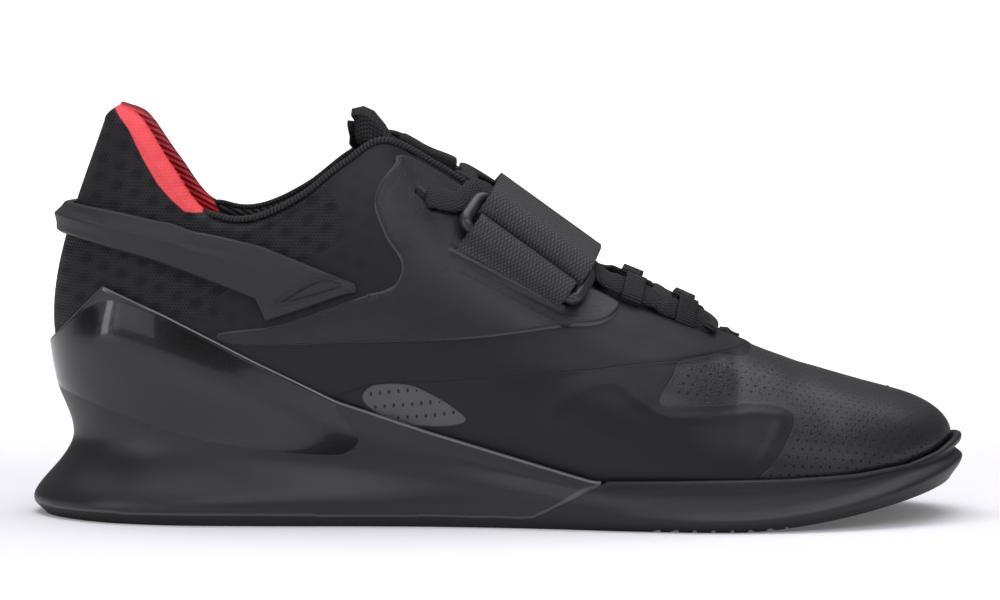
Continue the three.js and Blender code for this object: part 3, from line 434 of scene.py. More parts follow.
def make_piece(name, points, faces, materials, nodes, values=None, face_materials=None, uv=None):
    """One mesh that rides the shoe and stands for CAD nodes. points are in millimetres; points within
    0.01 mm are joined; values are numbers kept per point; uv is a place per point, in millimetres."""
    points, faces = np.asarray(points, float).reshape(-1, 3), np.asarray(faces)
    _, first, place = np.unique(np.round(points, 2), axis=0, return_index=True, return_inverse=True)
    welded = place.reshape(-1)[faces]
    sides = (welded != np.roll(welded, 1, axis=1)).sum(axis=1)
    keep = sides >= 3
    loops = [list(dict.fromkeys(face)) for face in welded[keep].tolist()]
    mesh = bpy.data.meshes.new(name)
    mesh.from_pydata((points[first] / 1000).tolist(), [], loops)
    mesh.validate()
    mesh.polygons.foreach_set("use_smooth", np.ones(len(mesh.polygons), bool))
    for key, numbers in (values or {}).items():
        layer = mesh.attributes.new(key, "FLOAT", "POINT")
        layer.data.foreach_set("value", np.asarray(numbers, np.float32).reshape(-1)[first])
    if uv is not None:
        for axis, key in enumerate(("u_mm", "v_mm")):
            layer = mesh.attributes.new(key, "FLOAT", "POINT")
            layer.data.foreach_set("value", np.asarray(uv, np.float32).reshape(-1, 2)[first, axis])
    for material in materials:
        mesh.materials.append(material)
    if face_materials is not None and len(mesh.polygons) == keep.sum():
        mesh.polygons.foreach_set("material_index", np.asarray(face_materials, np.int32)[keep])
    piece = bpy.data.objects.new(name, mesh)
    bpy.context.scene.collection.objects.link(piece)
    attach(piece, "root")
    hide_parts(*nodes)
    print(f"{name}: {len(mesh.polygons)} faces")
    return piece


def offset_normals(grid, closed_u=False):
    """Unit normals of a grid of points: the cross product of its two directions."""
    if closed_u:
        along = np.roll(grid, -1, axis=0) - np.roll(grid, 1, axis=0)
    else:
        along = np.gradient(grid, axis=0)
    return unit(np.cross(along, np.gradient(grid, axis=1)))


print("a grid of 3 by 3 points has", len(grid_faces(3, 3)), "faces")

# %% [markdown]
# A panel on a shoe is a flat shape before it is sewn on. Here it is an outline in the side view, and
# a point's distance to that outline says how near it is to the panel's edge: for a seam, a stitch or
# a bevelled border. Cutting the mesh along the outline would work too, but then each edge costs
# many faces.


# %% Distances to lines and outlines
def signed_distance(x, z, corners):
    """Distance in the side view to a closed outline, above zero inside it."""
    p = np.stack([x, z], -1)[..., None, :]
    a = np.array(corners, float)
    b = np.roll(a, -1, axis=0)
    t = np.clip(((p - a) * (b - a)).sum(-1) / ((b - a) ** 2).sum(-1), 0, 1)
    near = np.linalg.norm(p - a - t[..., None] * (b - a), axis=-1).min(-1)
    crosses = (a[:, 1] > p[..., 1]) != (b[:, 1] > p[..., 1])
    rise = np.where(b[:, 1] == a[:, 1], 1e-9, b[:, 1] - a[:, 1])
    at = a[:, 0] + (p[..., 1] - a[:, 1]) / rise * (b[:, 0] - a[:, 0])
    inside = (crosses & (p[..., 0] < at)).sum(-1) % 2 == 1
    return np.where(inside, near, -near)


def line_distance(x, z, corners):
    """Distance in the side view to an open line, and how far along the line the nearest point is."""
    p = np.stack([x, z], -1)[..., None, :]
    a, b = np.array(corners[:-1], float), np.array(corners[1:], float)
    t = np.clip(((p - a) * (b - a)).sum(-1) / ((b - a) ** 2).sum(-1), 0, 1)
    away = np.linalg.norm(p - a - t[..., None] * (b - a), axis=-1)
    length = np.linalg.norm(b - a, axis=1)
    run = np.concatenate([[0], np.cumsum(length)[:-1]]) + t * length
    nearest = away.argmin(-1)[..., None]
    return np.take_along_axis(away, nearest, -1)[..., 0], np.take_along_axis(run, nearest, -1)[..., 0]


def smooth_outline(corners, per_side=6):
    """A closed outline rounded through its corners, for panel edges that curve."""
    c = np.array(corners, float)
    t = np.arange(per_side)[None, :, None] / per_side
    a, b, d, e = (np.roll(c, k, axis=0)[:, None] for k in (1, 0, -1, -2))
    curve = b + 0.5 * t * (d - a + t * (2 * a - 5 * b + 4 * d - e + t * (3 * (b - d) + e - a)))
    return curve.reshape(-1, 2)


print("a 2 mm square's middle is", signed_distance(1.0, 1.0, [(0, 0), (2, 0), (2, 2), (0, 2)]), "mm inside")


# %% [markdown]
# Every finish is worked out by shader nodes from the shoe's own places: millimetres along and
# up a piece, or distances to a panel's edge that were kept at its points. Painted images could do
# the same; nodes stay sharp from close by and follow the sizes.


# %% Arithmetic in nodes
def value_or_link(tree, socket, value):
    """Puts a number straight on a socket, or links an output to it."""
    if isinstance(value, (int, float, tuple)):
        socket.default_value = value
    else:
        tree.links.new(value, socket)


def calc(tree, operation, *values):
    """One step of arithmetic between numbers and outputs."""
    node = tree.nodes.new("ShaderNodeMath")
    node.operation = operation
    for i, value in enumerate(values):
        value_or_link(tree, node.inputs[i], value)
    return node.outputs[0]


def ramp(tree, value, low, high, start=0.0, end=1.0):
    """A smooth change from start to end as value goes from low to high."""
    node = tree.nodes.new("ShaderNodeMapRange")
    node.interpolation_type = "SMOOTHSTEP"
    for i, number in enumerate((value, low, high, start, end)):
        value_or_link(tree, node.inputs[i], number)
    return node.outputs[0]


def at_points(tree, name):
    """A value kept at the points of the mesh."""
    node = tree.nodes.new("ShaderNodeAttribute")
    node.attribute_name = name
    return node.outputs["Fac"]


def line_mask(tree, distance, inner, outer):
    """1 on a line and 0 beside it, for a signed distance to the line."""
    return ramp(tree, calc(tree, "ABSOLUTE", distance), inner, outer, 1.0, 0.0)


def mix(tree, share, first, second):
    """Blends two colours by a share."""
    node = tree.nodes.new("ShaderNodeMix")
    node.data_type = "RGBA"
    value_or_link(tree, node.inputs[0], share)
    value_or_link(tree, node.inputs[6], first)
    value_or_link(tree, node.inputs[7], second)
    return node.outputs[2]


def blend(tree, share, first, second):
    """Blends two numbers by a share."""
    node = tree.nodes.new("ShaderNodeMix")
    value_or_link(tree, node.inputs[0], share)
    value_or_link(tree, node.inputs[2], first)
    value_or_link(tree, node.inputs[3], second)
    return node.outputs[0]


print("node arithmetic ready")

# %% [markdown]
# An effect that several finishes need is kept as a node group: one small graph, placed wherever it is
# used. Copying its nodes into every material would look the same, but would have to be mended in
# many places.


# %% Shared node groups
def new_group(name, inputs, output):
    """An empty shared node group with number inputs, given with their defaults, and one output."""
    group = bpy.data.node_groups.new(name, "ShaderNodeTree")
    for key, default in inputs.items():
        socket = group.interface.new_socket(key, in_out="INPUT", socket_type="NodeSocketFloat")
        socket.default_value = default
    group.interface.new_socket(output, in_out="OUTPUT", socket_type="NodeSocketFloat")
    return group, group.nodes.new("NodeGroupInput").outputs, group.nodes.new("NodeGroupOutput").inputs[0]


def use(tree, group, *values):
    """Places a shared group and feeds its inputs."""
    node = tree.nodes.new("ShaderNodeGroup")
    node.node_tree = group
    for i, value in enumerate(values):
        value_or_link(tree, node.inputs[i], value)
    return node.outputs[0]


def fractional_offset(tree, value, pitch, shift):
    """Signed distance to the nearest line of a row of lines, in pitches."""
    scaled = calc(tree, "ADD", calc(tree, "DIVIDE", value, pitch), shift)
    return calc(tree, "SUBTRACT", calc(tree, "FRACT", scaled), 0.5)


print("node groups ready")

# %% [markdown]
# Net, pinholes and weave repeat in two directions. Spots are points of a triangular lattice: two
# square-cornered lattices, one shifted by half a step, and the nearer of the two. A weave has strands
# that go over and under in turn. Both need only distances, so no image is tiled.

# %% Spots and weave
LATTICE_HEIGHT = 1.732  # the rows of a triangular lattice are the square root of 3 apart
spots, ins, out = new_group("Spots", {"Along": 0, "Up": 0, "Pitch": 3}, "Distance")
tall = calc(spots, "MULTIPLY", ins[2], LATTICE_HEIGHT)
lattices = []
for shift in (0.0, 0.5):
    u = fractional_offset(spots, ins[0], ins[2], shift)
    v = calc(spots, "MULTIPLY", fractional_offset(spots, ins[1], tall, shift), LATTICE_HEIGHT)
    square = calc(spots, "ADD", calc(spots, "MULTIPLY", u, u), calc(spots, "MULTIPLY", v, v))
    lattices.append(calc(spots, "SQRT", square))
spots.links.new(calc(spots, "MINIMUM", *lattices), out)

weave, ins, out = new_group("Weave", {"Along": 0, "Across": 0, "Pitch": 1}, "Height")
strands = []
for shift in (0.0, 0.5):
    u = calc(weave, "ABSOLUTE", fractional_offset(weave, ins[0], ins[2], shift))
    v = calc(weave, "ABSOLUTE", fractional_offset(weave, ins[1], calc(weave, "MULTIPLY", ins[2], 2.0), shift))
    strands.append(calc(weave, "SUBTRACT", 1.0, calc(weave, "ADD", calc(weave, "MULTIPLY", u, 1.6),
                                                     calc(weave, "MULTIPLY", v, 1.2))))
weave.links.new(calc(weave, "MAXIMUM", *strands), out)
print("repeating effects:", spots.name, weave.name)

# %% [markdown]
# Stitches are short dashes along a line. Grain is the skin of leather or of a moulded surface: soft
# cells with a fine noise on them. It is far too fine for geometry, so it is a relief of the finish.

# %% Stitches and grain
stitch_inputs = {"Distance": 0, "Run": 0, "Pitch": 2.6, "Half width": 0.35}
stitches, ins, out = new_group("Stitches", stitch_inputs, "Thread")
near = line_mask(stitches, ins[0], calc(stitches, "MULTIPLY", ins[3], 0.6), ins[3])
dash = line_mask(stitches, fractional_offset(stitches, ins[1], ins[2], 0.0), 0.30, 0.40)
stitches.links.new(calc(stitches, "MULTIPLY", near, dash), out)

grain, ins, out = new_group("Grain", {"Cell size": 0.9}, "Height")
place = grain.nodes.new("ShaderNodeTexCoord")
cells = grain.nodes.new("ShaderNodeTexVoronoi")
cells.feature = "DISTANCE_TO_EDGE"
grain.links.new(place.outputs["Object"], cells.inputs["Vector"])
grain.links.new(calc(grain, "DIVIDE", 1000.0, ins[0]), cells.inputs["Scale"])
fine = grain.nodes.new("ShaderNodeTexNoise")
grain.links.new(place.outputs["Object"], fine.inputs["Vector"])
fine.inputs["Scale"].default_value = 2200.0
fine.inputs["Detail"].default_value = 3.0
rounded = ramp(grain, cells.outputs["Distance"], 0.0, 0.25)
grain.links.new(calc(grain, "ADD", calc(grain, "MULTIPLY", rounded, 0.7),
                     calc(grain, "MULTIPLY", fine.outputs[0], 0.6)), out)
print("other effects:", stitches.name, grain.name)

# %% [markdown]
# A finish is a Principled material: a colour, a roughness, sometimes a clear coat, and a relief given
# as a height. Bump turns the height into shading, which is enough for what is less than half a
# millimetre deep; deeper forms are in the meshes.


# %% Finishes
def finish(name, colour, roughness, height=None, depth=0.1, coat=0.0, coat_roughness=0.1, specular=0.5,
           sheen=0.0):
    """Builds a material from colours, numbers or functions that build them in its tree."""
    material = bpy.data.materials.new(name)
    material.use_nodes = True
    tree = material.node_tree
    shader = tree.nodes["Principled BSDF"]
    for socket, value in (("Base Color", colour), ("Roughness", roughness), ("Coat Weight", coat)):
        value_or_link(tree, shader.inputs[socket], value(tree) if callable(value) else value)
    shader.inputs["Coat Roughness"].default_value = coat_roughness
    shader.inputs["Specular IOR Level"].default_value = specular
    shader.inputs["Sheen Weight"].default_value = sheen
    if height is not None:
        bump = tree.nodes.new("ShaderNodeBump")
        bump.inputs["Distance"].default_value = depth / 1000
        tree.links.new(height(tree), bump.inputs["Height"])
        tree.links.new(bump.outputs["Normal"], shader.inputs["Normal"])
    return material


def grey(level, warmth=0.0):
    """A near-neutral dark colour: a little bluer with negative warmth."""
    return (level * (1 + warmth), level, level * (1 - warmth), 1.0)


def grain_height(size):
    """Relief of a leather or moulded grain with cells of that size."""
    return lambda tree: use(tree, grain, size)


def weave_height(pitch):
    """Relief of a woven strap or lace along its own length."""
    return lambda tree: use(tree, weave, at_points(tree, "u_mm"), at_points(tree, "v_mm"), pitch)


def weave_colour(pitch, low, high):
    """Woven threads are paler on their crowns than between them."""
    return lambda tree: mix(tree, ramp(tree, weave_height(pitch)(tree), 0.1, 0.8), grey(low), grey(high))


def rib_lines(tree):
    """Fine ribs square to the length of a narrow webbing, 0.85 mm apart."""
    return line_mask(tree, fractional_offset(tree, at_points(tree, "v_mm"), 0.85, 0.0), 0.1, 0.42)


def cord_ribs(tree):
    """Slanted ribs of a twisted cord, 1.2 mm apart along it."""
    slant = calc(tree, "ADD", at_points(tree, "v_mm"), calc(tree, "MULTIPLY", at_points(tree, "u_mm"), 0.6))
    return line_mask(tree, fractional_offset(tree, slant, 1.2, 0.0), 0.08, 0.45)


print("finish helpers ready")

# %% [markdown]
# The upper's panels are outlines in the side view, x forward and z up, in millimetres. Both sides
# have the same ones. On the real shoe film and leather are fused to a mesh, so the panels are colours
# and low steps of one skin here too, not pieces of their own.

# %% Panels of the upper
WING = [(-104, 55), (-96, 58.5), (-45, 68), (-27, 76), (-27, 125), (60, 125), (81.5, 80), (81.2, 56),
        (69.7, 54.3), (56.8, 53.0), (43.9, 52.1), (31.5, 50.7), (14.2, 49.2), (-6.3, 47.4), (-18.8, 46.2),
        (-31.3, 45.6), (-40.3, 45.0), (-50.3, 41.5), (-70, 36), (-100, 44)]
TOE = smooth_outline([
    (81.5, 90), (81.2, 56), (69.7, 54.3), (57.5, 53.2), (54.9, 49.0), (50.2, 41.5), (52.7, 39.1), (62.9, 39.6),
    (82.0, 39.3), (88.4, 38.5), (92.5, 36.3), (93.2, 34.0), (91.9, 30.4), (88.5, 24.3), (84.8, 19.7),
    (81.0, 12.0), (81, -30), (190, -30), (190, 90)])
WINDOW = smooth_outline([
    (-43.5, 40.5), (-40.8, 44.3), (-35, 45.3), (-28.6, 45.0), (-23.4, 43.0), (-15.6, 38.7), (-10.5, 34.2),
    (-14.2, 32.1), (-22, 31.6), (-31.6, 32.4), (-39.5, 36.0)])
HEEL_MESH = smooth_outline([
    (-160, 10), (-160, 150), (-90, 150), (-60, 112), (-52.5, 104), (-49.6, 97.1), (-51.5, 90), (-62.9, 83.8),
    (-87.5, 73.3), (-89.6, 68.7), (-88.4, 64.8), (-100.7, 61.7), (-104, 10)])
CORAL = [(-170, 150), (-124.2, 131.2), (-118.7, 124.8), (-113.5, 115.4), (-108.7, 107.7), (-103.9, 102.5),
         (-99.5, 98.8), (-94, 99), (-90, 150)]
FILM_RIDGE = [(43.9, 41.5), (48.7, 37.6), (53.2, 36.0), (70, 35.6), (82, 36.7), (88.6, 35.4), (88.1, 31.9),
              (84.4, 25.2), (80.5, 18.9), (79.0, 12)]
SHOULDER_RIDGE = [(16.0, 36), (19.5, 40.5), (28.1, 46.1), (36.2, 47.7), (41.3, 44.6), (44.5, 41)]
print("corners of the wing:", len(WING), "and of the rounded toe panel:", len(TOE))

# %% [markdown]
# Leather and film never lie quite flat. The main creases and soft bulges are placed one by one: where
# each starts and ends in the side view, how far it reaches across, and how deep it is (below zero) or
# how high. A cloth simulation would give folds of its own, but not the ones in the photograph.

# %% Creases and low relief
CREASES = rows("x0 z0 x1 z1 reach depth", [
    (-30, 116, -22, 100, 3.0, -0.5), (-22, 100, -14, 86, 3.6, -0.4), (-37, 106, -33, 90, 3.2, 0.4),
    (-118, 60, -92, 66, 4.0, 0.4), (-84, 74, -60, 80, 4.5, -0.4), (-60, 62, -34, 70, 6.0, 0.45),
    (-10, 60, 22, 56, 5.0, -0.35), (24, 66, 44, 58, 3.5, -0.45), (50, 58, 66, 49, 4.0, -0.35),
    (2, 30, 30, 40, 5.0, 0.5), (36, 22, 66, 30, 6.0, -0.4), (96, 47, 104, 34, 4.5, -0.3),
    (70, 50, 88, 46, 4.0, 0.35), (-24, 36, 4, 26, 4.0, -0.3), (-76, 92, -62, 100, 4.0, -0.35),
])


def creases(x, z):
    """Adds up soft troughs and ridges: each is a line with a bell-shaped cross-section."""
    total = np.zeros_like(x)
    for x0, z0, x1, z1, reach, depth in zip(*CREASES.values()):
        away, _ = line_distance(x, z, [(x0, z0), (x1, z1)])
        total += depth * np.exp(-(away / reach) ** 2)
    return total


def panel_relief(x, z):
    """How far the outer surface stands from the foot form: the wing highest, the film and the mesh
    below it, the leather of the toe and the window lowest, with soft steps between them."""
    wing, toe, window = (signed_distance(x, z, outline) for outline in (WING, TOE, WINDOW))
    mesh = signed_distance(x, z, HEEL_MESH)
    relief = -0.32 * (1 - smoothstep(wing, -0.4, 0.2)) - 0.2 * smoothstep(toe, -0.3, 0.4)
    relief -= 0.2 * smoothstep(window, -0.4, 0.4) + 0.2 * smoothstep(mesh, -0.5, 0.5)
    for line, height, reach in ((FILM_RIDGE, 0.55, 1.3), (SHOULDER_RIDGE, 0.5, 2.4)):
        relief += height * np.exp(-(line_distance(x, z, line)[0] / reach) ** 2)
    return relief + creases(x, z), {"wing": wing, "toe": toe, "window": window, "mesh": mesh}


print("creases and bulges:", len(CREASES["depth"]))

# %% [markdown]
# The upper is one closed wall: the outer surface, the rolled edge, and the lining inside it. The
# ribs of the two sides meet at the ridge of the vamp, where their points are joined. A Solidify
# modifier could add the inside, but the collar's padding changes the wall's thickness.

# %% The wall of the upper
UPPER_RIBS = 480
OUTER_STEPS, LINING_STEPS = 104, 40
rib_angles = 2 * np.pi * np.arange(UPPER_RIBS) / UPPER_RIBS
outer_shares = np.concatenate([np.linspace(0, 0.86, OUTER_STEPS - 20), np.linspace(0.86, 1, 21)[1:]])
turned, shares = np.meshgrid(rib_angles, outer_shares, indexing="ij")
form = upper_point(turned, shares)
form_normal = upper_normal(turned, shares)
x, z = form[..., 0], form[..., 2]
relief, edges = panel_relief(x, z)
at_ridge = fold(rib_angles) >= RIDGE_START
fade = np.where(at_ridge[:, None], 1, smoothstep(1 - shares, 0.0, 0.03))
outer = form + form_normal * (relief * fade)[..., None]
across_ridge = (outer[:, -1] + outer[-np.arange(UPPER_RIBS), -1]) / 2
outer[at_ridge, -1] = across_ridge[at_ridge]
lining_shares = np.linspace(1, 0, LINING_STEPS + 1)[1:]
turned_in, shares_in = np.meshgrid(rib_angles, lining_shares, indexing="ij")
wall = wall_at(turned_in, shares_in) * smoothstep(1 - shares_in, 0.0, 0.03)
lining = upper_point(turned_in, shares_in) - upper_normal(turned_in, shares_in) * wall[..., None]
section = np.concatenate([outer, lining], axis=1)
print("upper grid:", section.shape, "mm relief from", relief.min().round(2), "to", relief.max().round(2))

# %% [markdown]
# The faces that would close the ridge from inside are left out, and every point keeps the values that
# the finishes need. across runs over the foot like a tape measure, so the toe's pinholes stay round
# where the side view's own z would stretch them.

# %% Faces and values of the upper
ACROSS_CENTRE, ACROSS_RADIUS = 8.0, 42.0
faces = grid_faces(UPPER_RIBS, section.shape[1], closed_u=True)
rib_of_face = np.repeat(np.arange(UPPER_RIBS), section.shape[1] - 1)
step_of_face = np.tile(np.arange(section.shape[1] - 1), UPPER_RIBS)
both_at_ridge = at_ridge[rib_of_face] & at_ridge[(rib_of_face + 1) % UPPER_RIBS]
keep = ~(both_at_ridge & (step_of_face == len(outer_shares) - 1))
inside = step_of_face >= len(outer_shares) - 1
ridge_y = COLLAR_HALF * top_column["centre"](fold(rib_angles))[:, None]
across_height = np.maximum(section[..., 2] - ACROSS_CENTRE, 1)
across = np.arctan2(section[..., 1] - ridge_y, across_height) * ACROSS_RADIUS
beyond = np.zeros_like(lining[..., 0])
kept = {key: np.concatenate([number, beyond - 99], axis=1) for key, number in edges.items()}
kept.update({
    "coral": np.concatenate([signed_distance(x, z, CORAL), -92.0 - lining[..., 0]], axis=1),
    "across": across,
    "crown_x": section[..., 0],
    "crown_z": section[..., 2],
})
print("faces of the upper:", int(keep.sum()), "of which", int(inside[keep].sum()), "are lining")

# %% [markdown]
# Patterns of the upper. The heel is a fine honeycomb net over larger dark spots; the film over the
# quarter shows the spots faintly; the toe and the window are grained leather with pinholes; the
# wing is smooth and matt. A seam is a thin dark line where a distance crosses zero.


# %% Patterns of the upper
def panel(tree, name, soft=0.25):
    """Share of a panel at a point: 0 outside its edge, 1 inside."""
    return ramp(tree, at_points(tree, name), -soft, soft)


def net(tree, pitch, low, high):
    """Small lattice holes over the heel, along the shoe and up it."""
    away = use(tree, spots, at_points(tree, "crown_x"), at_points(tree, "crown_z"), pitch)
    return ramp(tree, away, low, high)


def large_spots(tree, low, high):
    """Long slanted spots under the net: the lattice is turned by 30 degrees and stretched."""
    x, z = at_points(tree, "crown_x"), at_points(tree, "crown_z")
    along = calc(tree, "ADD", calc(tree, "MULTIPLY", x, 0.72), calc(tree, "MULTIPLY", z, 0.42))
    up = calc(tree, "SUBTRACT", z, calc(tree, "MULTIPLY", x, 0.58))
    return ramp(tree, use(tree, spots, along, up, 6.6), low, high)


def pinholes(tree):
    """Small round holes over the toe: 1 in a hole."""
    away = use(tree, spots, at_points(tree, "crown_x"), at_points(tree, "across"), 2.9)
    return ramp(tree, away, 0.09, 0.15, 1.0, 0.0)


def holed(tree):
    """Pinholes where the leather shows: the toe and the window."""
    leather = calc(tree, "MAXIMUM", ramp(tree, at_points(tree, "toe"), 2.0, 2.6),
                   ramp(tree, at_points(tree, "window"), 0.6, 1.2))
    return calc(tree, "MULTIPLY", leather, pinholes(tree))


def seams(tree):
    """Thin dark lines along the edges of the panels."""
    lines = [line_mask(tree, at_points(tree, name), 0.08, 0.28) for name in ("wing", "toe", "window")]
    return calc(tree, "MAXIMUM", calc(tree, "MAXIMUM", lines[0], lines[1]), lines[2])


def leather_share(tree):
    """1 on the leather of the toe and the window."""
    return calc(tree, "MAXIMUM", panel(tree, "toe"), panel(tree, "window"))


def film_spots(tree, low, high):
    """The large spots as the film shows them: they fade out in front of the ankle."""
    return calc(tree, "MAXIMUM", large_spots(tree, low, high), ramp(tree, at_points(tree, "crown_x"), -46, -34))


print("patterns of the upper ready")

# %% [markdown]
# The finish lays the panels over one another, as a maker does: film first, then the leather, the wing,
# the net, and the coral roll of the collar. Colour, roughness and relief use the same order, so that
# they change at the same edge. The leather's thin coat gives the toe its broad soft highlight.

# %% Finish of the upper
NET_PITCH = 1.15
CORAL_RED = (1.0, 0.10, 0.11, 1.0)


def upper_colour(tree):
    """Colours from below: film, leather, wing, honeycomb, then seams and the coral roll."""
    faint = film_spots(tree, 0.08, 0.38)
    film = mix(tree, faint, grey(0.0065), grey(0.0105, -0.03))
    leather = mix(tree, holed(tree), grey(0.0140, -0.04), grey(0.001))
    leather = mix(tree, panel(tree, "window"), leather, mix(tree, holed(tree), grey(0.085), grey(0.015)))
    open_net = calc(tree, "MULTIPLY", net(tree, NET_PITCH, 0.18, 0.40), large_spots(tree, 0.14, 0.40))
    honeycomb = mix(tree, open_net, grey(0.0020), grey(0.0150, -0.06))
    base = mix(tree, leather_share(tree), film, leather)
    base = mix(tree, panel(tree, "wing"), base, grey(0.0112, -0.02))
    base = mix(tree, panel(tree, "mesh", 0.5), base, honeycomb)
    base = mix(tree, calc(tree, "MULTIPLY", seams(tree), 0.6), base, grey(0.0035))
    return mix(tree, panel(tree, "coral", 0.3), base, CORAL_RED)


def upper_roughness(tree):
    """The toe leather is the smoothest, then the film, the wing and the net."""
    base = blend(tree, leather_share(tree), 0.47, 0.41)
    base = blend(tree, panel(tree, "wing"), base, 0.52)
    base = blend(tree, panel(tree, "mesh", 0.5), base, 0.62)
    return blend(tree, panel(tree, "coral", 0.3), base, 0.8)


def upper_height(tree):
    """Relief in units of 0.25 mm: net, pinholes, grain of the leather, sunk spots of the film."""
    net_relief = calc(tree, "ADD", calc(tree, "MULTIPLY", net(tree, NET_PITCH, 0.12, 0.40), 0.6),
                      calc(tree, "MULTIPLY", large_spots(tree, 0.0, 0.45), 1.3))
    leather = calc(tree, "SUBTRACT", calc(tree, "MULTIPLY", use(tree, grain, 1.1), 0.35),
                   calc(tree, "MULTIPLY", holed(tree), 1.5))
    smooth = calc(tree, "MULTIPLY", film_spots(tree, 0.0, 0.5), 0.2)
    matt = calc(tree, "MULTIPLY", use(tree, grain, 0.7), 0.12)
    base = blend(tree, leather_share(tree), smooth, leather)
    base = blend(tree, panel(tree, "wing"), base, matt)
    base = blend(tree, panel(tree, "mesh", 0.5), base, net_relief)
    return calc(tree, "SUBTRACT", base, calc(tree, "MULTIPLY", seams(tree), 0.4))


def leather_coat(tree):
    """A thin satin dressing on the toe and window leather, open at the pinholes."""
    return calc(tree, "MULTIPLY", leather_share(tree), ramp(tree, holed(tree), 0.2, 0.8, 0.32, 0.0))


upper_finish = finish("upper_panels", upper_colour, upper_roughness, upper_height, depth=0.25,
                      coat=leather_coat, coat_roughness=0.30, specular=0.33)
print("nodes of the upper's finish:", len(upper_finish.node_tree.nodes))

# %% [markdown]
# The lining is a ribbed knit: coral behind the ankle, black in front of it. It could be a fabric of
# displaced loops, but only its ribs show, so they are a slanted row of lines. The same mesh carries
# both finishes, the lining on the faces inside.


# %% Lining, and the upper as a piece
def lining_ribs(tree):
    """Diagonal ribs of the knitted lining."""
    slant = calc(tree, "ADD", at_points(tree, "crown_z"),
                 calc(tree, "MULTIPLY", at_points(tree, "crown_x"), 0.55))
    return line_mask(tree, fractional_offset(tree, slant, 1.75, 0.0), 0.10, 0.42)


def lining_colour(tree):
    """Coral behind the ankle, black in front of it."""
    coral = mix(tree, lining_ribs(tree), (0.30, 0.008, 0.015, 1.0), (0.90, 0.05, 0.065, 1.0))
    black = mix(tree, lining_ribs(tree), grey(0.003), grey(0.016))
    return mix(tree, panel(tree, "coral", 0.3), black, coral)


lining_finish = finish("ribbed_lining", lining_colour, 0.85, lining_ribs, depth=0.5, specular=0.2,
                       sheen=0.15)
make_piece("upper_visual", section, faces[keep], [upper_finish, lining_finish], ["upper"],
           values=kept, face_materials=inside[keep].astype(int))

# %% [markdown]
# The sole's side is a smooth curve through five places: bottom edge, widest line, waist, cup and
# rim. The rubber outsole takes what lies under and in front of the parting line, the moulded heel
# part the rest.

# %% Side of the sole
OUTSOLE_THICKNESS = 3.3
PARTING_FRONT_X, PARTING_TOP_X, PARTING_TOP_Z = 10.0, 33.0, 15.0
GROOVE_COUNT, GROOVE_PITCH, GROOVE_WIDTH, GROOVE_DEPTH, GROOVE_START_X = 9, 5.8, 1.1, 0.8, 50.0
rim_line = side_line(RIM, "rise")


def base_point(angle):
    """Widest line of the sole, seen from above."""
    return np.stack([-SOLE_LENGTH * np.cos(angle) / 2, base_y(angle), np.zeros_like(angle)], -1)


def smooth_through(places, t):
    """Centripetal curve through the places (first axis) at parameter t, as the CAD part draws it."""
    ends = [2 * places[0] - places[1], 2 * places[-1] - places[-2]]
    knots = np.concatenate([[ends[0]], places, [ends[1]]])
    gap = np.maximum(np.linalg.norm(np.diff(knots, axis=0), axis=-1, keepdims=True), 1e-6) ** 0.5
    count = len(places) - 1
    i = min(int(t * count), count - 1)
    w = t * count - i
    p0, p1, p2, p3 = knots[i:i + 4]
    g0, g1, g2 = gap[i:i + 3]
    m1 = ((p1 - p0) / g0 - (p2 - p0) / (g0 + g1) + (p2 - p1) / g1) * g1
    m2 = ((p2 - p1) / g1 - (p3 - p1) / (g1 + g2) + (p3 - p2) / g2) * g1
    return p1 + m1 * w + (3 * (p2 - p1) - 2 * m1 - m2) * w ** 2 + (2 * (p1 - p2) + m1 + m2) * w ** 3


def cup_point(angle, share, z):
    """Outside of the sole's cup, one rim wall away from the upper."""
    point = upper_point(angle, share) + upper_normal(angle, share) * (CLEARANCE + SOLE_RIM_WALL)
    point[..., 2] = z
    return point


def sole_places(angle):
    """The five places of the side curve at each angle."""
    flare = base_point(angle)
    bottom = flare - level_normal(base_point, angle) * SOLE_EDGE_INSET
    floor = spring(bottom[..., 0])
    bottom[..., 2] = floor
    flare[..., 2] = floor + HEEL_SEAT * side_column["flare"](angle)
    stand = (SOLE_WIDTH * side_column["stand"](angle))[..., None]
    waist = foot_point(angle) + level_normal(foot_point, angle) * stand
    waist[..., 2] = floor + HEEL_SEAT * side_column["waist"](angle)
    rim_share = share_on(angle, rim_line)
    rim_z = upper_point(angle, rim_share)[..., 2]
    cup_z = waist[..., 2] * 0.4 + rim_z * 0.6
    cup_share = share_on(angle, lambda _: cup_z)
    cup, rim = cup_point(angle, cup_share, cup_z), cup_point(angle, rim_share, rim_z)
    return np.stack([bottom, flare, waist, cup, rim]), rim_share


def below_parting(x, z):
    """True in the rubber: under the line, or in front of it."""
    line = OUTSOLE_THICKNESS + np.clip((x - PARTING_FRONT_X) / (PARTING_TOP_X - PARTING_FRONT_X), 0, 1) * (
        PARTING_TOP_Z - OUTSOLE_THICKNESS)
    return (z < line) | (x > PARTING_TOP_X)


def side_samples(angle, steps=80):
    """The side curve at equal steps: (angles, steps + 1, 3)."""
    places, rim_share = sole_places(angle)
    return np.stack([smooth_through(places, i / steps) for i in range(steps + 1)], axis=1), rim_share


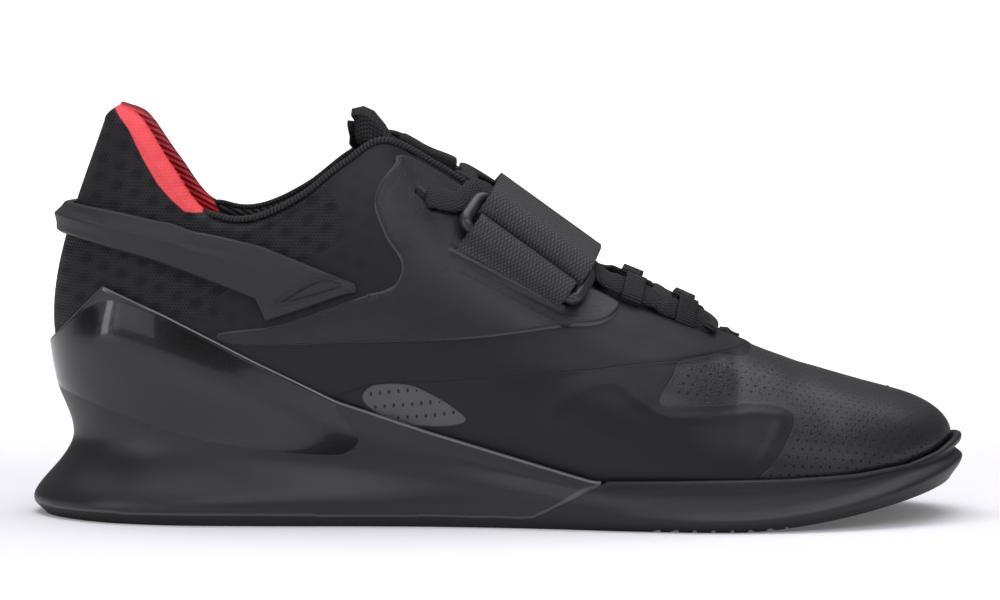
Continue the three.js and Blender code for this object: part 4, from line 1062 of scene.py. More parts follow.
groove_x = GROOVE_START_X + GROOVE_PITCH * np.arange(GROOVE_COUNT)
groove_edges = (groove_x[:, None] + GROOVE_WIDTH / 2 * np.array([-1.25, -0.9, 0, 0.9, 1.25])).ravel()
outer_half = np.union1d(np.linspace(0, np.pi, 240), np.arccos(-groove_edges / SOLE_LENGTH * 2))
sole_angles = np.concatenate([outer_half, 2 * np.pi - outer_half[1:-1][::-1]])
side, rim_share = side_samples(sole_angles)
rubber = below_parting(side[..., 0], side[..., 2])
first_plastic = np.where(rubber.all(axis=1), side.shape[1], (~rubber).argmax(axis=1))
print("sole side:", side.shape, "columns with heel plastic:", int((first_plastic < side.shape[1]).sum()))


def part_of_side(curve, from_t, to_t, count):
    """Points of each column's curve between two parameters."""
    t = from_t[:, None] + (to_t - from_t)[:, None] * np.linspace(0, 1, count)
    at = t * (curve.shape[1] - 1)
    low = np.clip(at.astype(int), 0, curve.shape[1] - 2)
    share = (at - low)[..., None]
    column_index = np.arange(len(curve))[:, None]
    return curve[column_index, low] * (1 - share) + curve[column_index, low + 1] * share


def lean_of(x):
    """How far the rim of the heel part leans in, in millimetres: the whole of it behind the arch."""
    return 1.6 * smoothstep(-x, 25, 65)


def rim_lip(angle, rim_share, rim_point):
    """From the rim over its rounded edge and down inside the cup."""
    inner = []
    wall = SOLE_RIM_WALL - lean_of(rim_point[..., 0])
    for across, down in ((0.10, -0.55), (0.5, -0.95), (0.90, -0.55), (1.0, 0.0)):
        away = (CLEARANCE + wall * (1 - across))[:, None]
        point = upper_point(angle, rim_share) + upper_normal(angle, rim_share) * away
        point[..., 2] = rim_point[..., 2] - down
        inner.append(point)
    for below in (0.02, 0.05, 0.09, 0.14):
        share = np.maximum(rim_share - below, 0)
        inner.append(upper_point(angle, share) + upper_normal(angle, share) * CLEARANCE)
    return np.stack(inner, axis=1)


print("sole helpers ready")

# %% [markdown]
# The heel part is moulded in one stiff plastic: a mirror-like zone above, a satin one below and a rounded
# rim, painted pale as a highlight line. It could be cut from the sole with a boolean, but taking the part of each curve
# above the parting line keeps its grid even, so the mirror zone shows no ripples.

# %% Heel part
part_t = np.clip(first_plastic / (side.shape[1] - 1), 0, 1)
has_plastic = part_t < 1
lip = rim_lip(sole_angles, rim_share, side[:, -1])
GAP = 0.45
plastic_start = np.minimum(part_t + 0.004, 1)
cradle_side = part_of_side(side, plastic_start, np.ones_like(part_t), 110)
window = np.hanning(41) / np.hanning(41).sum()
rim_height = np.convolve(np.pad(cradle_side[:, -1, 2], 20, mode="wrap"), window, mode="valid")
below_rim = np.maximum(rim_height[:, None] - cradle_side[..., 2], 0)
lean = np.maximum(1 - below_rim / 24, 0) ** 2 - 0.55 * np.sin(np.pi * np.clip(below_rim / 40, 0, 1))
lean *= lean_of(cradle_side[:, -1:, 0])
cradle_side = cradle_side - level_normal(base_point, sole_angles)[:, None] * lean[..., None]
sunk = cradle_side[:, :1] + (0, 0, -GAP) - level_normal(base_point, sole_angles)[:, None] * 1.2
cradle_grid = np.concatenate([sunk, cradle_side, lip], axis=1)
gloss_edge = [(-51.5, 39.5), (-48.2, 33.0), (-44.6, 27.4), (-47.8, 23.6), (-53.5, 22.6), (-70.8, 23.6),
              (-96.6, 27.2), (-122.4, 35.0), (-141.6, 41.4), (-170, 52), (-170, 130), (-40, 60)]
cradle_columns = has_plastic & np.roll(has_plastic, -1)
cradle_faces = grid_faces(len(sole_angles), cradle_grid.shape[1], closed_u=True)
cradle_faces = cradle_faces[cradle_columns[cradle_faces[:, 0] // cradle_grid.shape[1]]]
cx, cz = cradle_grid[..., 0], cradle_grid[..., 2]
past_rim = (np.arange(cradle_grid.shape[1]) > cradle_side.shape[1]) * 1.0
print("faces of the heel part:", len(cradle_faces))
cradle_values = {"gloss": signed_distance(cx, cz, smooth_outline(gloss_edge)),
                 "lip": np.broadcast_to(past_rim, cx.shape),
                 "above_base": np.linalg.norm(cradle_grid - cradle_grid[:, :1], axis=-1) - 1.2}


def cradle_roughness(tree):
    """A mirror-like upper zone and a satin lower one, with a crisp edge between them."""
    return ramp(tree, at_points(tree, "gloss"), -0.12, 0.12, 0.40, 0.055)


def cradle_colour(tree):
    """Both zones are black, the satin one a little paler; a painted highlight makes the base line at the parting line
    and the rim paler still.
    """
    base = mix(tree, ramp(tree, at_points(tree, "gloss"), -0.12, 0.12), grey(0.0165), grey(0.0040))
    # painted highlight: a pale line along the foot of the heel part, at the parting line
    base = mix(tree, ramp(tree, at_points(tree, "above_base"), 0.6, 1.1, 1.0, 0.0), base, grey(0.07))
    # painted highlight: the rounded rim is painted pale so that it shows as a bright line
    return mix(tree, at_points(tree, "lip"), base, grey(0.12))


cradle_finish = finish("heel_plastic", cradle_colour, cradle_roughness, grain_height(0.35), depth=0.012,
                       coat=lambda tree: blend(tree, at_points(tree, "lip"),
                                               ramp(tree, at_points(tree, "gloss"), -0.12, 0.12, 0.0, 0.35), 1.0),
                       coat_roughness=0.03)
make_piece("cradle_visual", cradle_grid, cradle_faces, [cradle_finish],
           ["heel_cradle"], values=cradle_values)

# %% [markdown]
# The outsole is one piece of rubber: its side up to the parting line, and a bottom with flex grooves
# and a fine tread. The grooves change the outline, so they are shape; the lozenges of the tread are
# too fine for that, so they are a relief of the finish.

# %% Rubber outsole
in_groove = (np.abs(side[:, 0, 0][:, None] - groove_x) < GROOVE_WIDTH / 2 * 1.05).any(axis=1)
rubber_side = part_of_side(side, np.zeros_like(part_t), part_t, 70)
notch = rubber_side[:, :1, 2] + GROOVE_DEPTH * in_groove[:, None]
rubber_side[..., 2] = np.maximum(rubber_side[..., 2], notch)
inward = rubber_side[:, -1:] - level_normal(base_point, sole_angles)[:, None] * 3.0
rubber_lip = np.where(has_plastic[:, None, None], inward, lip)
rubber_grid = np.concatenate([rubber_side, rubber_lip], axis=1)
rubber_faces = grid_faces(len(sole_angles), rubber_grid.shape[1], closed_u=True)
ACROSS_STEPS = 24
near_edge = rubber_grid[: len(outer_half), 0]
far_edge = rubber_grid[(-np.arange(len(outer_half))) % len(sole_angles), 0]
across_share = np.linspace(0, 1, ACROSS_STEPS + 1)[None, :, None]
under_grid = near_edge[:, None] * (1 - across_share) + far_edge[:, None] * across_share
under_faces = grid_faces(len(outer_half), ACROSS_STEPS + 1, start=rubber_grid.size // 3)
all_points = np.concatenate([rubber_grid.reshape(-1, 3), under_grid.reshape(-1, 3)])
tread_depth = np.where(np.arange(len(all_points)) < rubber_grid.size // 3, 0.0, 1.0)


def tread_height(tree):
    """Fine tread under the sole: rows of small lozenges; a soft grain on its side."""
    away = use(tree, spots, at_points(tree, "crown_x"), at_points(tree, "crown_y"), 3.4)
    tread = calc(tree, "MULTIPLY", ramp(tree, away, 0.22, 0.34), at_points(tree, "under"))
    return calc(tree, "ADD", tread, calc(tree, "MULTIPLY", use(tree, grain, 0.4), 0.05))


rubber_finish = finish("outsole_rubber", grey(0.0125), 0.48, tread_height, depth=0.4, specular=0.45)
make_piece("outsole_visual", all_points, np.concatenate([rubber_faces, under_faces]), [rubber_finish],
           ["outsole"],
           values={"crown_x": all_points[:, 0], "crown_y": all_points[:, 1], "under": tread_depth})


# %% [markdown]
# The leather saddle and the moulded heel band lie on the upper. The saddle fills the part of each
# rib that is inside its outline; its height rises over a rounded edge as the outline's distance grows.

# %% Leather saddles
SADDLE_THICKNESS = 0.9
SADDLE_OUTLINE = smooth_outline(np.stack([SADDLE["along"] * SOLE_LENGTH, SADDLE["rise"] * TOP_HEIGHT], -1), 5)
SLIT = [(-15.6, 87.0), (19.2, 68.8)]
SLOT = [(-26.4, 105.3), (-20.6, 100.3)]


def rounded_edge(distance, radius):
    """0 at an edge, rising along a quarter circle to 1 at that distance from it."""
    return np.sqrt(1 - (1 - np.clip(distance / radius, 0, 1)) ** 2)


def fill_outline(outline, angles_to_try, count):
    """Shares of each rib from the first to the last place inside an outline, evened out over its
    neighbours, so that the sheet always covers the outline."""
    probe = np.linspace(0.2, 1, 500)
    a, s = np.meshgrid(angles_to_try, probe, indexing="ij")
    point = upper_point(a, s)
    inside = signed_distance(point[..., 0], point[..., 2], outline) > 0
    crossed = inside.any(axis=1)
    used = angles_to_try[crossed]
    first = probe[inside.argmax(axis=1)[crossed]]
    last = probe[inside.shape[1] - 1 - inside[:, ::-1].argmax(axis=1)[crossed]]
    around = np.clip(np.arange(len(used))[:, None] + np.arange(-9, 10), 0, len(used) - 1)
    first, last = first[around].min(axis=1), last[around].max(axis=1)
    first, last = first[around].mean(axis=1), last[around].mean(axis=1)
    t = 0.5 - 0.5 * np.cos(np.pi * np.linspace(0, 1, count))
    shares = first[:, None] * (1 - t) + last[:, None] * t
    return np.broadcast_to(used[:, None], shares.shape), shares


saddle_angles, saddle_shares = fill_outline(SADDLE_OUTLINE, np.linspace(0.68, 1.86, 380), 110)
form = upper_point(saddle_angles, saddle_shares)
sx, sz = form[..., 0], form[..., 2]
edge = signed_distance(sx, sz, SADDLE_OUTLINE)
slit_away, slit_run = line_distance(sx, sz, SLIT)
slit_side = np.interp(sx, [p[0] for p in SLIT], [p[1] for p in SLIT]) - sz
thickness = 0.15 + (SADDLE_THICKNESS + 0.15) * rounded_edge(edge, 0.9)
thickness += 0.5 * np.exp(-(slit_away / 1.1) ** 2) - 0.10 * np.exp(-((edge - 3.2) / 1.0) ** 2) * (sz > 68)
slot_away = line_distance(sx, sz, SLOT)[0]
slot_rim, slot_pit = np.exp(-((slot_away - 1.9) / 0.6) ** 2), np.exp(-slot_away ** 2)
thickness += 0.8 * creases(sx, sz) + 0.3 * slot_rim - slot_pit
thickness = np.where(edge > 0, thickness, -0.8 * smoothstep(-edge, 0, 0.4))
saddle_values = {"edge": edge, "slit": slit_side, "slit_run": slit_run, "slit_away": slit_away,
                 "slot": slot_away}
print("saddle thickness up to", thickness.max().round(2), "mm")


def stitch_row(tree, line, inside, run, pitch, half_width):
    """A row of stitches that far inside a line, along its run."""
    away = calc(tree, "SUBTRACT", at_points(tree, line), inside)
    return use(tree, stitches, away, at_points(tree, run), pitch, half_width)


def saddle_stitch(tree):
    """Two rows of stitches below the slit of the webbing."""
    pair = [stitch_row(tree, "slit", inside, "slit_run", 2.5, 0.32) for inside in (2.6, 5.2)]
    near = ramp(tree, at_points(tree, "slit_away"), 5.5, 6.5, 1.0, 0.0)
    return calc(tree, "MULTIPLY", calc(tree, "MAXIMUM", *pair), near)


def saddle_colour(tree):
    """Black leather with a painted highlight along its cut edge, paler on the slit's welt, with a painted highlight
    round the slot and painted shade in it for the lace.
    """
    # painted highlight: a light line along the cut edge of the saddle
    cut_edge_highlight = ramp(tree, at_points(tree, "edge"), 0.15, 0.4, 1.0, 0.0)
    base = mix(tree, cut_edge_highlight, grey(0.0088, -0.03), grey(0.085))
    welt = ramp(tree, calc(tree, "ABSOLUTE", at_points(tree, "slit")), 0.2, 0.9, 1.0, 0.0)
    near = ramp(tree, at_points(tree, "slit_away"), 0.6, 1.4, 1.0, 0.0)
    base = mix(tree, calc(tree, "MULTIPLY", welt, near), base, grey(0.045))
    base = mix(tree, saddle_stitch(tree), base, grey(0.004))
    # painted highlight: a light ring round the slot
    base = mix(tree, ramp(tree, at_points(tree, "slot"), 1.5, 1.9, 1.0, 0.0), base, grey(0.05))
    # painted shade: the slot is near-black where the lace goes in
    return mix(tree, ramp(tree, at_points(tree, "slot"), 0.9, 1.2, 1.0, 0.0), base, grey(0.001))


def saddle_height(tree):
    """Fine grain, with the stitches standing up in small pits."""
    return calc(tree, "ADD", use(tree, grain, 0.75), calc(tree, "MULTIPLY", saddle_stitch(tree), 2.5))


saddle_finish = finish("saddle_leather", saddle_colour, 0.45, saddle_height, depth=0.10, coat=0.22,
                       coat_roughness=0.3, specular=0.4)
for side_name, turn_of in (("lateral", lambda a: a), ("medial", lambda a: 2 * np.pi - a)):
    angle = turn_of(saddle_angles)
    grid = upper_point(angle, saddle_shares) + upper_normal(angle, saddle_shares) * thickness[..., None]
    make_piece(f"saddle_{side_name}_visual", grid, grid_faces(*grid.shape[:2]), [saddle_finish],
               [f"saddle_{side_name}"], values=saddle_values)

# %% [markdown]
# The heel band is moulded: thick at its ridge, thin at its edges, with a sunk triangle near each end
# that is stitched round. It is a height over the upper, worked out for each point of its grid.

# %% Heel band
BAND_REACH, BAND_THICKNESS, BAND_RIDGE = 1.275, 2.2, 2.6
INSET = [(-72.0, 69.0), (-57.2, 78.6), (-47.6, 75.6)]
BAND_CREASE = [(-126.0, 94.6), (-112.9, 90.1), (-86.0, 86.4)]
band_angles = np.concatenate([np.linspace(-BAND_REACH, -1.15, 9)[:-1], np.linspace(-1.15, 1.15, 280),
                              np.linspace(1.15, BAND_REACH, 9)[1:]])
band_lines = [side_line(BAND, name) for name in ("bottom", "ridge", "top")]
band_edges = np.stack([share_on(band_angles, line) for line in band_lines])
v = 0.5 - 0.5 * np.cos(np.pi * np.linspace(0, 1, 61))
for row, steps in zip(band_edges, (7, 25, 25)):
    even = np.convolve(np.pad(row, steps // 2, mode="edge"), np.ones(steps) / steps, mode="valid")
    row[:] = even + (row - even) * smoothstep(np.abs(band_angles), 0.75, 0.95)
band_shares = np.stack([np.interp(v, [0, 0.5, 1], column_shares) for column_shares in band_edges.T])
band_turn = np.broadcast_to(band_angles[:, None], band_shares.shape)
fade = np.maximum(0, 1 - (np.abs(band_turn) / BAND_REACH) ** 2 * 1.4)
relief = BAND_THICKNESS * np.interp(v, [0, 0.25, 0.5, 0.75, 1], [0.72, 0.9, 1, 0.9, 0.72])
crest = np.interp(v, [0, 0.25, 0.5, 0.75, 1], [0.32, 0.5, 1, 0.5, 0.32])
form = upper_point(band_turn, band_shares)
bx, bz = form[..., 0], form[..., 2]
band_width = np.linalg.norm(form[:, -1] - form[:, 0], axis=-1)[:, None]
end_away = (BAND_REACH - np.abs(band_turn)) * 48
edge_round = rounded_edge(np.minimum(v, 1 - v) * band_width, 0.9) * rounded_edge(end_away, 0.9)
inset_away = signed_distance(bx, bz, smooth_outline(INSET, 4))
height = CLEARANCE + (relief + BAND_RIDGE * fade * crest) * edge_round
height -= 0.8 * smoothstep(inset_away, -0.4, 0.1)
height -= 0.2 * np.exp(-(line_distance(bx, bz, BAND_CREASE)[0] / 1.2) ** 2)
band_grid = form + upper_normal(band_turn, band_shares) * height[..., None]
inset_run = np.arctan2(bz - np.mean([p[1] for p in INSET]), bx - np.mean([p[0] for p in INSET])) * 9
print("band stands up to", height.max().round(2), "mm above the upper")


def inset_stitch(tree):
    """Stitches round the inset triangle near the band's ends."""
    return stitch_row(tree, "inset", 1.3, "inset_run", 1.9, 0.45)


def band_height(tree):
    """Fine grain, with the stitches standing up."""
    return calc(tree, "ADD", use(tree, grain, 0.45), calc(tree, "MULTIPLY", inset_stitch(tree), 3.0))


band_finish = finish("heel_band", lambda tree: mix(tree, inset_stitch(tree), grey(0.021, -0.02), grey(0.004)),
                     0.50, band_height, depth=0.05, specular=0.45)
make_piece("heel_band_visual", band_grid, grid_faces(*band_grid.shape[:2]), [band_finish],
           ["heel_band"], values={"inset": inset_away, "inset_run": inset_run})


# %% [markdown]
# The strap lies in a frame of its own: along the throat, across the shoe and up from the instep.
# It is one long strip with rounded edges, carried along its path: over the instep, round the ring's
# upper bar and back over itself.

# %% Frame of the strap, and strips along a path
STRAP_FROM, STRAP_TO, STRAP_MIDDLE, STRAP_LIFT = 1.45, 1.79, 0.648, 0.18
STRAP_WIDTH, STRAP_THICKNESS, WEB_WIDTH, WEB_THICKNESS = 40.5, 1.7, 37.6, 1.5
BAR_RADIUS, RING_LENGTH, RING_CORNER = 1.6, 46.2, 3.2
UPPER_BAR, LOWER_BAR = np.array([-22.9, 1.9]), np.array([-33.1, -8.2])
level_top = [top_point(np.array(a)) * [1, 0, 1] for a in (STRAP_FROM, STRAP_TO)]
strap_along = unit(level_top[1] - level_top[0])
strap_up = np.array([-strap_along[2], 0, strap_along[0]])
strap_origin = level_top[0] + (level_top[1] - level_top[0]) * STRAP_MIDDLE + strap_up * STRAP_LIFT
ACROSS = np.array([0.0, 1.0, 0.0])


def in_strap_frame(along, across, up):
    """A place given along the throat, across the shoe and up from the instep."""
    return (strap_origin + np.multiply.outer(along, strap_along) + np.multiply.outer(across, ACROSS)
            + np.multiply.outer(up, strap_up))


def curve_through(stops, count):
    """Smooth curve through stops: each stop's slope is the mean of its two neighbouring chords."""
    stops = np.array(stops, float)
    step = np.maximum(np.linalg.norm(np.diff(stops[:, :3], axis=0), axis=1) ** 0.5, 1e-6)
    knots = np.concatenate([[0], np.cumsum(step)])
    chord = np.diff(stops, axis=0) / step[:, None]
    inner = (chord[:-1] * step[1:, None] + chord[1:] * step[:-1, None]) / (step[:-1] + step[1:])[:, None]
    slope = np.concatenate([chord[:1], inner, chord[-1:]])
    at = np.linspace(0, knots[-1], count)
    i = np.clip(np.searchsorted(knots, at, side="right") - 1, 0, len(step) - 1)
    t, h = ((at - knots[i]) / step[i])[:, None], step[i][:, None]
    return (stops[i] * (1 + 2 * t) * (1 - t) ** 2 + slope[i] * h * t * (1 - t) ** 2
            + stops[i + 1] * t * t * (3 - 2 * t) + slope[i + 1] * h * t * t * (t - 1))


def strip_section(width, thickness, corner, across_steps=24):
    """Closed outline of a flat strip with quarter-round edges: places across it and up from its middle."""
    half, flat = width / 2, thickness / 2
    side = np.linspace(-half + corner, half - corner, across_steps)
    turn = np.linspace(0, np.pi / 2, 5)[1:-1]
    right = np.stack([half - corner + corner * np.sin(turn), flat * np.cos(turn)], -1)
    top = np.concatenate([np.stack([side, np.full_like(side, flat)], -1), right])
    return np.concatenate([top, [[half, 0]], (top * [1, -1])[::-1], [[-half, 0]]])[:-1]


def swept_strip(path, ups, section):
    """Carries a section along a path: across is square to the path and to the way up."""
    ahead = unit(np.gradient(path, axis=0))
    across = unit(np.cross(ahead, ups))
    up = np.cross(across, ahead)
    run = np.concatenate([[0], np.cumsum(np.linalg.norm(np.diff(path, axis=0), axis=1))])
    section = np.concatenate([section, section[:1]])
    grid = path[:, None] + across[:, None] * section[None, :, :1] + up[:, None] * section[None, :, 1:2]
    uv = np.stack(np.broadcast_arrays(section[None, :, 0], run[:, None]), -1)
    return grid, uv


def capped(grid, uv):
    """Closes both ends of a swept strip with a point in the middle of each."""
    ends = [np.broadcast_to(grid[k, :-1].mean(axis=0), grid[k].shape)[None] for k in (0, -1)]
    return np.concatenate([ends[0], grid, ends[1]]), np.concatenate([uv[:1], uv, uv[-1:]])


def strip_piece(name, path, ups, section, material, nodes):
    """One closed strip, as a piece with the strip's own places across and along it."""
    grid, uv = capped(*swept_strip(path, ups, section))
    return make_piece(name, grid, grid_faces(*grid.shape[:2])[:, ::-1], [material], nodes, uv=uv)


def arc(centre, radius, start, end, count):
    """Points of an arc in the strap's cross-section."""
    turn = np.linspace(start, end, count)
    return centre + radius * np.stack([np.cos(turn), np.sin(turn)], -1)


print("strap frame at", strap_origin.round(1), "mm, along", strap_along.round(3))

# %% [markdown]
# The strap is a coarse webbing. Its threads are a relief of the finish, and its path is drawn through
# stops in the cross-section, with an arc where it turns round the bar of the ring.

# %% Instep strap
webbing_finish = finish("coarse_webbing", weave_colour(1.25, 0.003, 0.085), 0.62, weave_height(1.25),
                        depth=0.5, specular=0.3)
ring_way = unit(LOWER_BAR - UPPER_BAR)
fold_centre, fold_radius = UPPER_BAR + 3.8 * ring_way, 5.0
under = [(38.6, -31), (36.6, -16), (31, -8.9), (24.2, -2.9), (18.7, 3.1), (10.2, 5.85), (0, 6.65),
         (-10.2, 5.65), (-17.2, 2.95)]
over = [(-15.9, 6.2), (-8, 7.75), (0, 8.35), (9.8, 7.5), (17.2, 4.85), (21.4, 1.9)]
path = np.concatenate([curve_through([*under, arc(fold_centre, fold_radius, -0.75, -0.9, 2)[0]], 120),
                       arc(fold_centre, fold_radius, -0.9, -2 * np.pi + 1.75, 40),
                       curve_through([arc(fold_centre, fold_radius, 1.6, 1.6, 1)[0], *over], 90)])
place = in_strap_frame(np.zeros(len(path)), path[:, 0], path[:, 1])
strap_ups = np.cross(strap_along, unit(np.gradient(place, axis=0)))
strip_piece("strap_visual", place, strap_ups, strip_section(STRAP_WIDTH, STRAP_THICKNESS, 0.7), webbing_finish,
            ["instep_strap"])

# %% [markdown]
# A second, narrower webbing holds the ring: it comes out of the saddle, goes round the lower bar and
# back in, so both layers run side by side.

# %% Webbing of the ring
tail = np.array([-32.0, -17.2])
web_centre, web_radius = LOWER_BAR - 0.4 * ring_way, 3.9
up_way = unit(web_centre - tail)
side_way = np.array([up_way[1], -up_way[0]])
reach = np.linalg.norm(web_centre - tail)
bend = np.linspace(-0.5, np.pi + 0.5, 40)
web_path = np.concatenate([[(0.8, -3), (0.8, 0.5), (1.0, 3.5)],
                           np.stack([web_radius * np.cos(bend), reach + web_radius * np.sin(bend)], -1),
                           [(-1.0, 3.5), (-0.8, 0.5), (-0.8, -3)]])
web_path = curve_through(web_path, 120)
web_place = tail + web_path[:, :1] * side_way + web_path[:, 1:] * up_way
place = in_strap_frame(np.zeros(len(web_place)), web_place[:, 0], web_place[:, 1])
strip_piece("ring_webbing_visual", place, np.cross(strap_along, unit(np.gradient(place, axis=0))),
            strip_section(WEB_WIDTH, WEB_THICKNESS, 0.6), webbing_finish, ["ring_webbing"])

# %% [markdown]
# The ring is a round bar bent to a rounded rectangle, a little thicker at its short ends. A bevelled
# curve object would give a bar of one thickness only.

# %% Ring
half_wide, half_long = np.linalg.norm(LOWER_BAR - UPPER_BAR) / 2, RING_LENGTH / 2 - BAR_RADIUS
ring_middle = (UPPER_BAR + LOWER_BAR) / 2 + 1.4 * ring_way
corner = np.repeat(np.arange(4), 10)
turn = (corner + np.tile(np.linspace(0, 1, 10), 4)) * np.pi / 2
sign_u, sign_v = np.array([1, -1, -1, 1])[corner], np.array([1, 1, -1, -1])[corner]
ring_u = sign_u * (half_long - RING_CORNER) + RING_CORNER * np.cos(turn)
ring_v = sign_v * (half_wide - RING_CORNER) + RING_CORNER * np.sin(turn)
centre = in_strap_frame(ring_u, ring_middle[0] + ring_way[0] * ring_v, ring_middle[1] + ring_way[1] * ring_v)
out_way = in_strap_frame(np.cos(turn), ring_way[0] * np.sin(turn), ring_way[1] * np.sin(turn)) - strap_origin
ring_normal = in_strap_frame(np.array(0.0), ring_way[1], -ring_way[0]) - strap_origin
roll = np.linspace(0, 2 * np.pi, 25)
end_share = smoothstep(np.abs(ring_u), RING_LENGTH / 2 - 5, RING_LENGTH / 2 - 2)[:, None, None]
round_bar = np.cos(roll)[None, :, None] * out_way[:, None] + np.sin(roll)[None, :, None] * ring_normal
ring_grid = centre[:, None] + (BAR_RADIUS + 0.5 * end_share) * round_bar
ring_finish = finish("ring_plastic", grey(0.030), 0.34, grain_height(0.5), depth=0.01)
make_piece("ring_visual", ring_grid, grid_faces(*ring_grid.shape[:2], closed_u=True), [ring_finish],
           ["strap_ring"])

# %% [markdown]
# The tongue follows the underside of the throat edges. Its head is thicker and stands above them.
# It is padded and soft; a cloth solver could fill it out,
# but the swelling that shows is shaped here.

# %% Tongue
TONGUE_THICKNESS, TONGUE_HEAD = 4.0, 7.0
TONGUE_FROM, TONGUE_TO = 1.40, 2.12
TONGUE_SHARES = np.array([0.80, 0.86, 0.93, 1.0])
TONGUE_CROWN = rows("at crown", [(1.40, 1.5), (1.70, 1.7), (1.89, 3.4), (2.03, 2.0), (2.12, 0.0)])
TONGUE_STRETCH = [(13, 12.5, 0.84), (10.0, 11.4, 0.9), (7.0, 9.5, 0.95), (3.4, 5.4, 0.98)]


def tongue_section(angle, count=13):
    """Curve across the tongue under the two throat edges, raised in the middle by the crown."""
    near, far = (upper_point(a, TONGUE_SHARES) - upper_normal(a, TONGUE_SHARES)
                 * (wall_at(np.full(4, a), TONGUE_SHARES) + 3 * CLEARANCE)[:, None] for a in (angle, 2 * np.pi - angle))
    middle = (near[-1] + far[-1]) / 2 + [0, 0, np.interp(angle, TONGUE_CROWN["at"], TONGUE_CROWN["crown"])]
    return curve_through([*near, middle, *far[::-1]], count)


TONGUE_ROWS, TONGUE_ACROSS = 72, 61
body = np.stack([tongue_section(a, TONGUE_ACROSS) for a in np.linspace(TONGUE_FROM, TONGUE_TO, TONGUE_ROWS)])
first = body[0]
head = np.stack([np.stack([first[:, 0] - back, first[:, 1] * narrow, first[:, 2] + up], -1)
                 for back, up, narrow in TONGUE_STRETCH])
tongue = np.concatenate([head, body])
row_place = np.concatenate([[0, 0.5, 1, 1.5], 2 + 10 * np.linspace(0, 1, TONGUE_ROWS)])
end_sink = 3.6 * smoothstep(row_place, 9.4, 11.6)[:, None]
padding = TONGUE_THICKNESS + TONGUE_HEAD * np.exp(-((row_place - 1.2) ** 2) / 3)
tongue_out = offset_normals(tongue)
tongue_out *= np.sign(tongue_out[..., 2:3].mean())
edge_share = np.minimum(np.linspace(0, 1, TONGUE_ACROSS), 1 - np.linspace(0, 1, TONGUE_ACROSS))
slim = rounded_edge(edge_share[None, :] * 60, 4.0) * rounded_edge(row_place[:, None] * 5 + 0.4, 5.0)
plump = 0.5 * np.sin(np.pi * np.linspace(0, 1, TONGUE_ACROSS)) ** 2 * np.exp(-((row_place[:, None] - 0.9) ** 2))
top_side = tongue + tongue_out * (plump * 1.2 - end_sink - (1 - slim) * padding[:, None] * 0.45)[..., None]
low_side = tongue - tongue_out * (padding[:, None] * (0.55 + 0.45 * slim))[..., None]
closed = np.concatenate([top_side, low_side[:, ::-1], top_side[:, :1]], axis=1)
closed = np.concatenate([np.broadcast_to(closed[:1].mean(axis=1, keepdims=True), closed[:1].shape), closed,
                         np.broadcast_to(closed[-1:].mean(axis=1, keepdims=True), closed[-1:].shape)])
run_up = np.concatenate([[0], row_place * 7 + 3, [0]])
run_round = np.concatenate([[0], np.cumsum(np.linalg.norm(np.diff(closed[3], axis=0), axis=1))])
run_round = np.broadcast_to(run_round, closed.shape[:2])
tongue_uv = np.stack([run_round, np.broadcast_to(run_up[:, None], closed.shape[:2])], -1)


def tongue_net(tree, low, high):
    """Small open holes of the padded mesh, 1.4 mm apart."""
    return ramp(tree, use(tree, spots, at_points(tree, "u_mm"), at_points(tree, "v_mm"), 1.4), low, high)


tongue_finish = finish("tongue_mesh",
                       lambda tree: mix(tree, tongue_net(tree, 0.2, 0.42), grey(0.003), grey(0.026)), 0.75,
                       lambda tree: tongue_net(tree, 0.15, 0.45), depth=0.4, specular=0.2)
tongue_piece = make_piece("tongue_visual", closed, grid_faces(*closed.shape[:2]), [tongue_finish],
                          ["tongue"], uv=tongue_uv)

# %% [markdown]
# A woven label lies on the head of the tongue. It takes rows of the tongue's own section, so it bends
# with it, and stays bare.

# %% Label of the tongue
TAB_THICKNESS = 1.6
tab_rows = np.stack([tongue_section(a, 97)[40:57] for a in np.linspace(1.405, 1.50, 24)])
tab_out = offset_normals(tab_rows)
tab_out *= np.sign(tab_out[..., 2:3].mean())
u_away = np.minimum(np.arange(24), 23 - np.arange(24))[:, None] * 0.55
v_away = np.minimum(np.arange(17), 16 - np.arange(17))[None, :] * 0.8
tab_round = rounded_edge(np.minimum(u_away, v_away), 0.8)
tab_rise = 1.6 + 1.6 * smoothstep(np.arange(24.0), 8, 23)[:, None]
tab_top = tab_rows + tab_out * (tab_rise + 2 * CLEARANCE + TAB_THICKNESS * (0.35 + 0.65 * tab_round))[..., None]
tab_low = tab_rows - tab_out * 0.4
tab_grid = np.concatenate([tab_top, tab_low[:, ::-1], tab_top[:, :1]], axis=1)
tab_grid = np.concatenate([tab_low[:1, 8:9] + 0 * tab_grid[:1], tab_grid, tab_low[-1:, 8:9] + 0 * tab_grid[-1:]])
tab_u, tab_v = np.arange(len(tab_grid)) * 0.7, np.arange(tab_grid.shape[1]) * 0.8
tab_uv = np.stack(np.meshgrid(tab_u, tab_v, indexing="ij"), -1)
tab_finish = finish("tab_fabric", weave_colour(0.8, 0.008, 0.03), 0.8, weave_height(0.8), depth=0.2,
                    specular=0.2)
make_piece("tongue_tab_visual", tab_grid, grid_faces(*tab_grid.shape[:2]), [tab_finish],
           ["tongue_tab"], uv=tab_uv)

# %% [markdown]
# One flat lace goes from row to row and crosses the tongue between them, as the CAD part has it.
# Where its two halves cross, one lies over the other. The loops are bands of ribbed webbing round it.

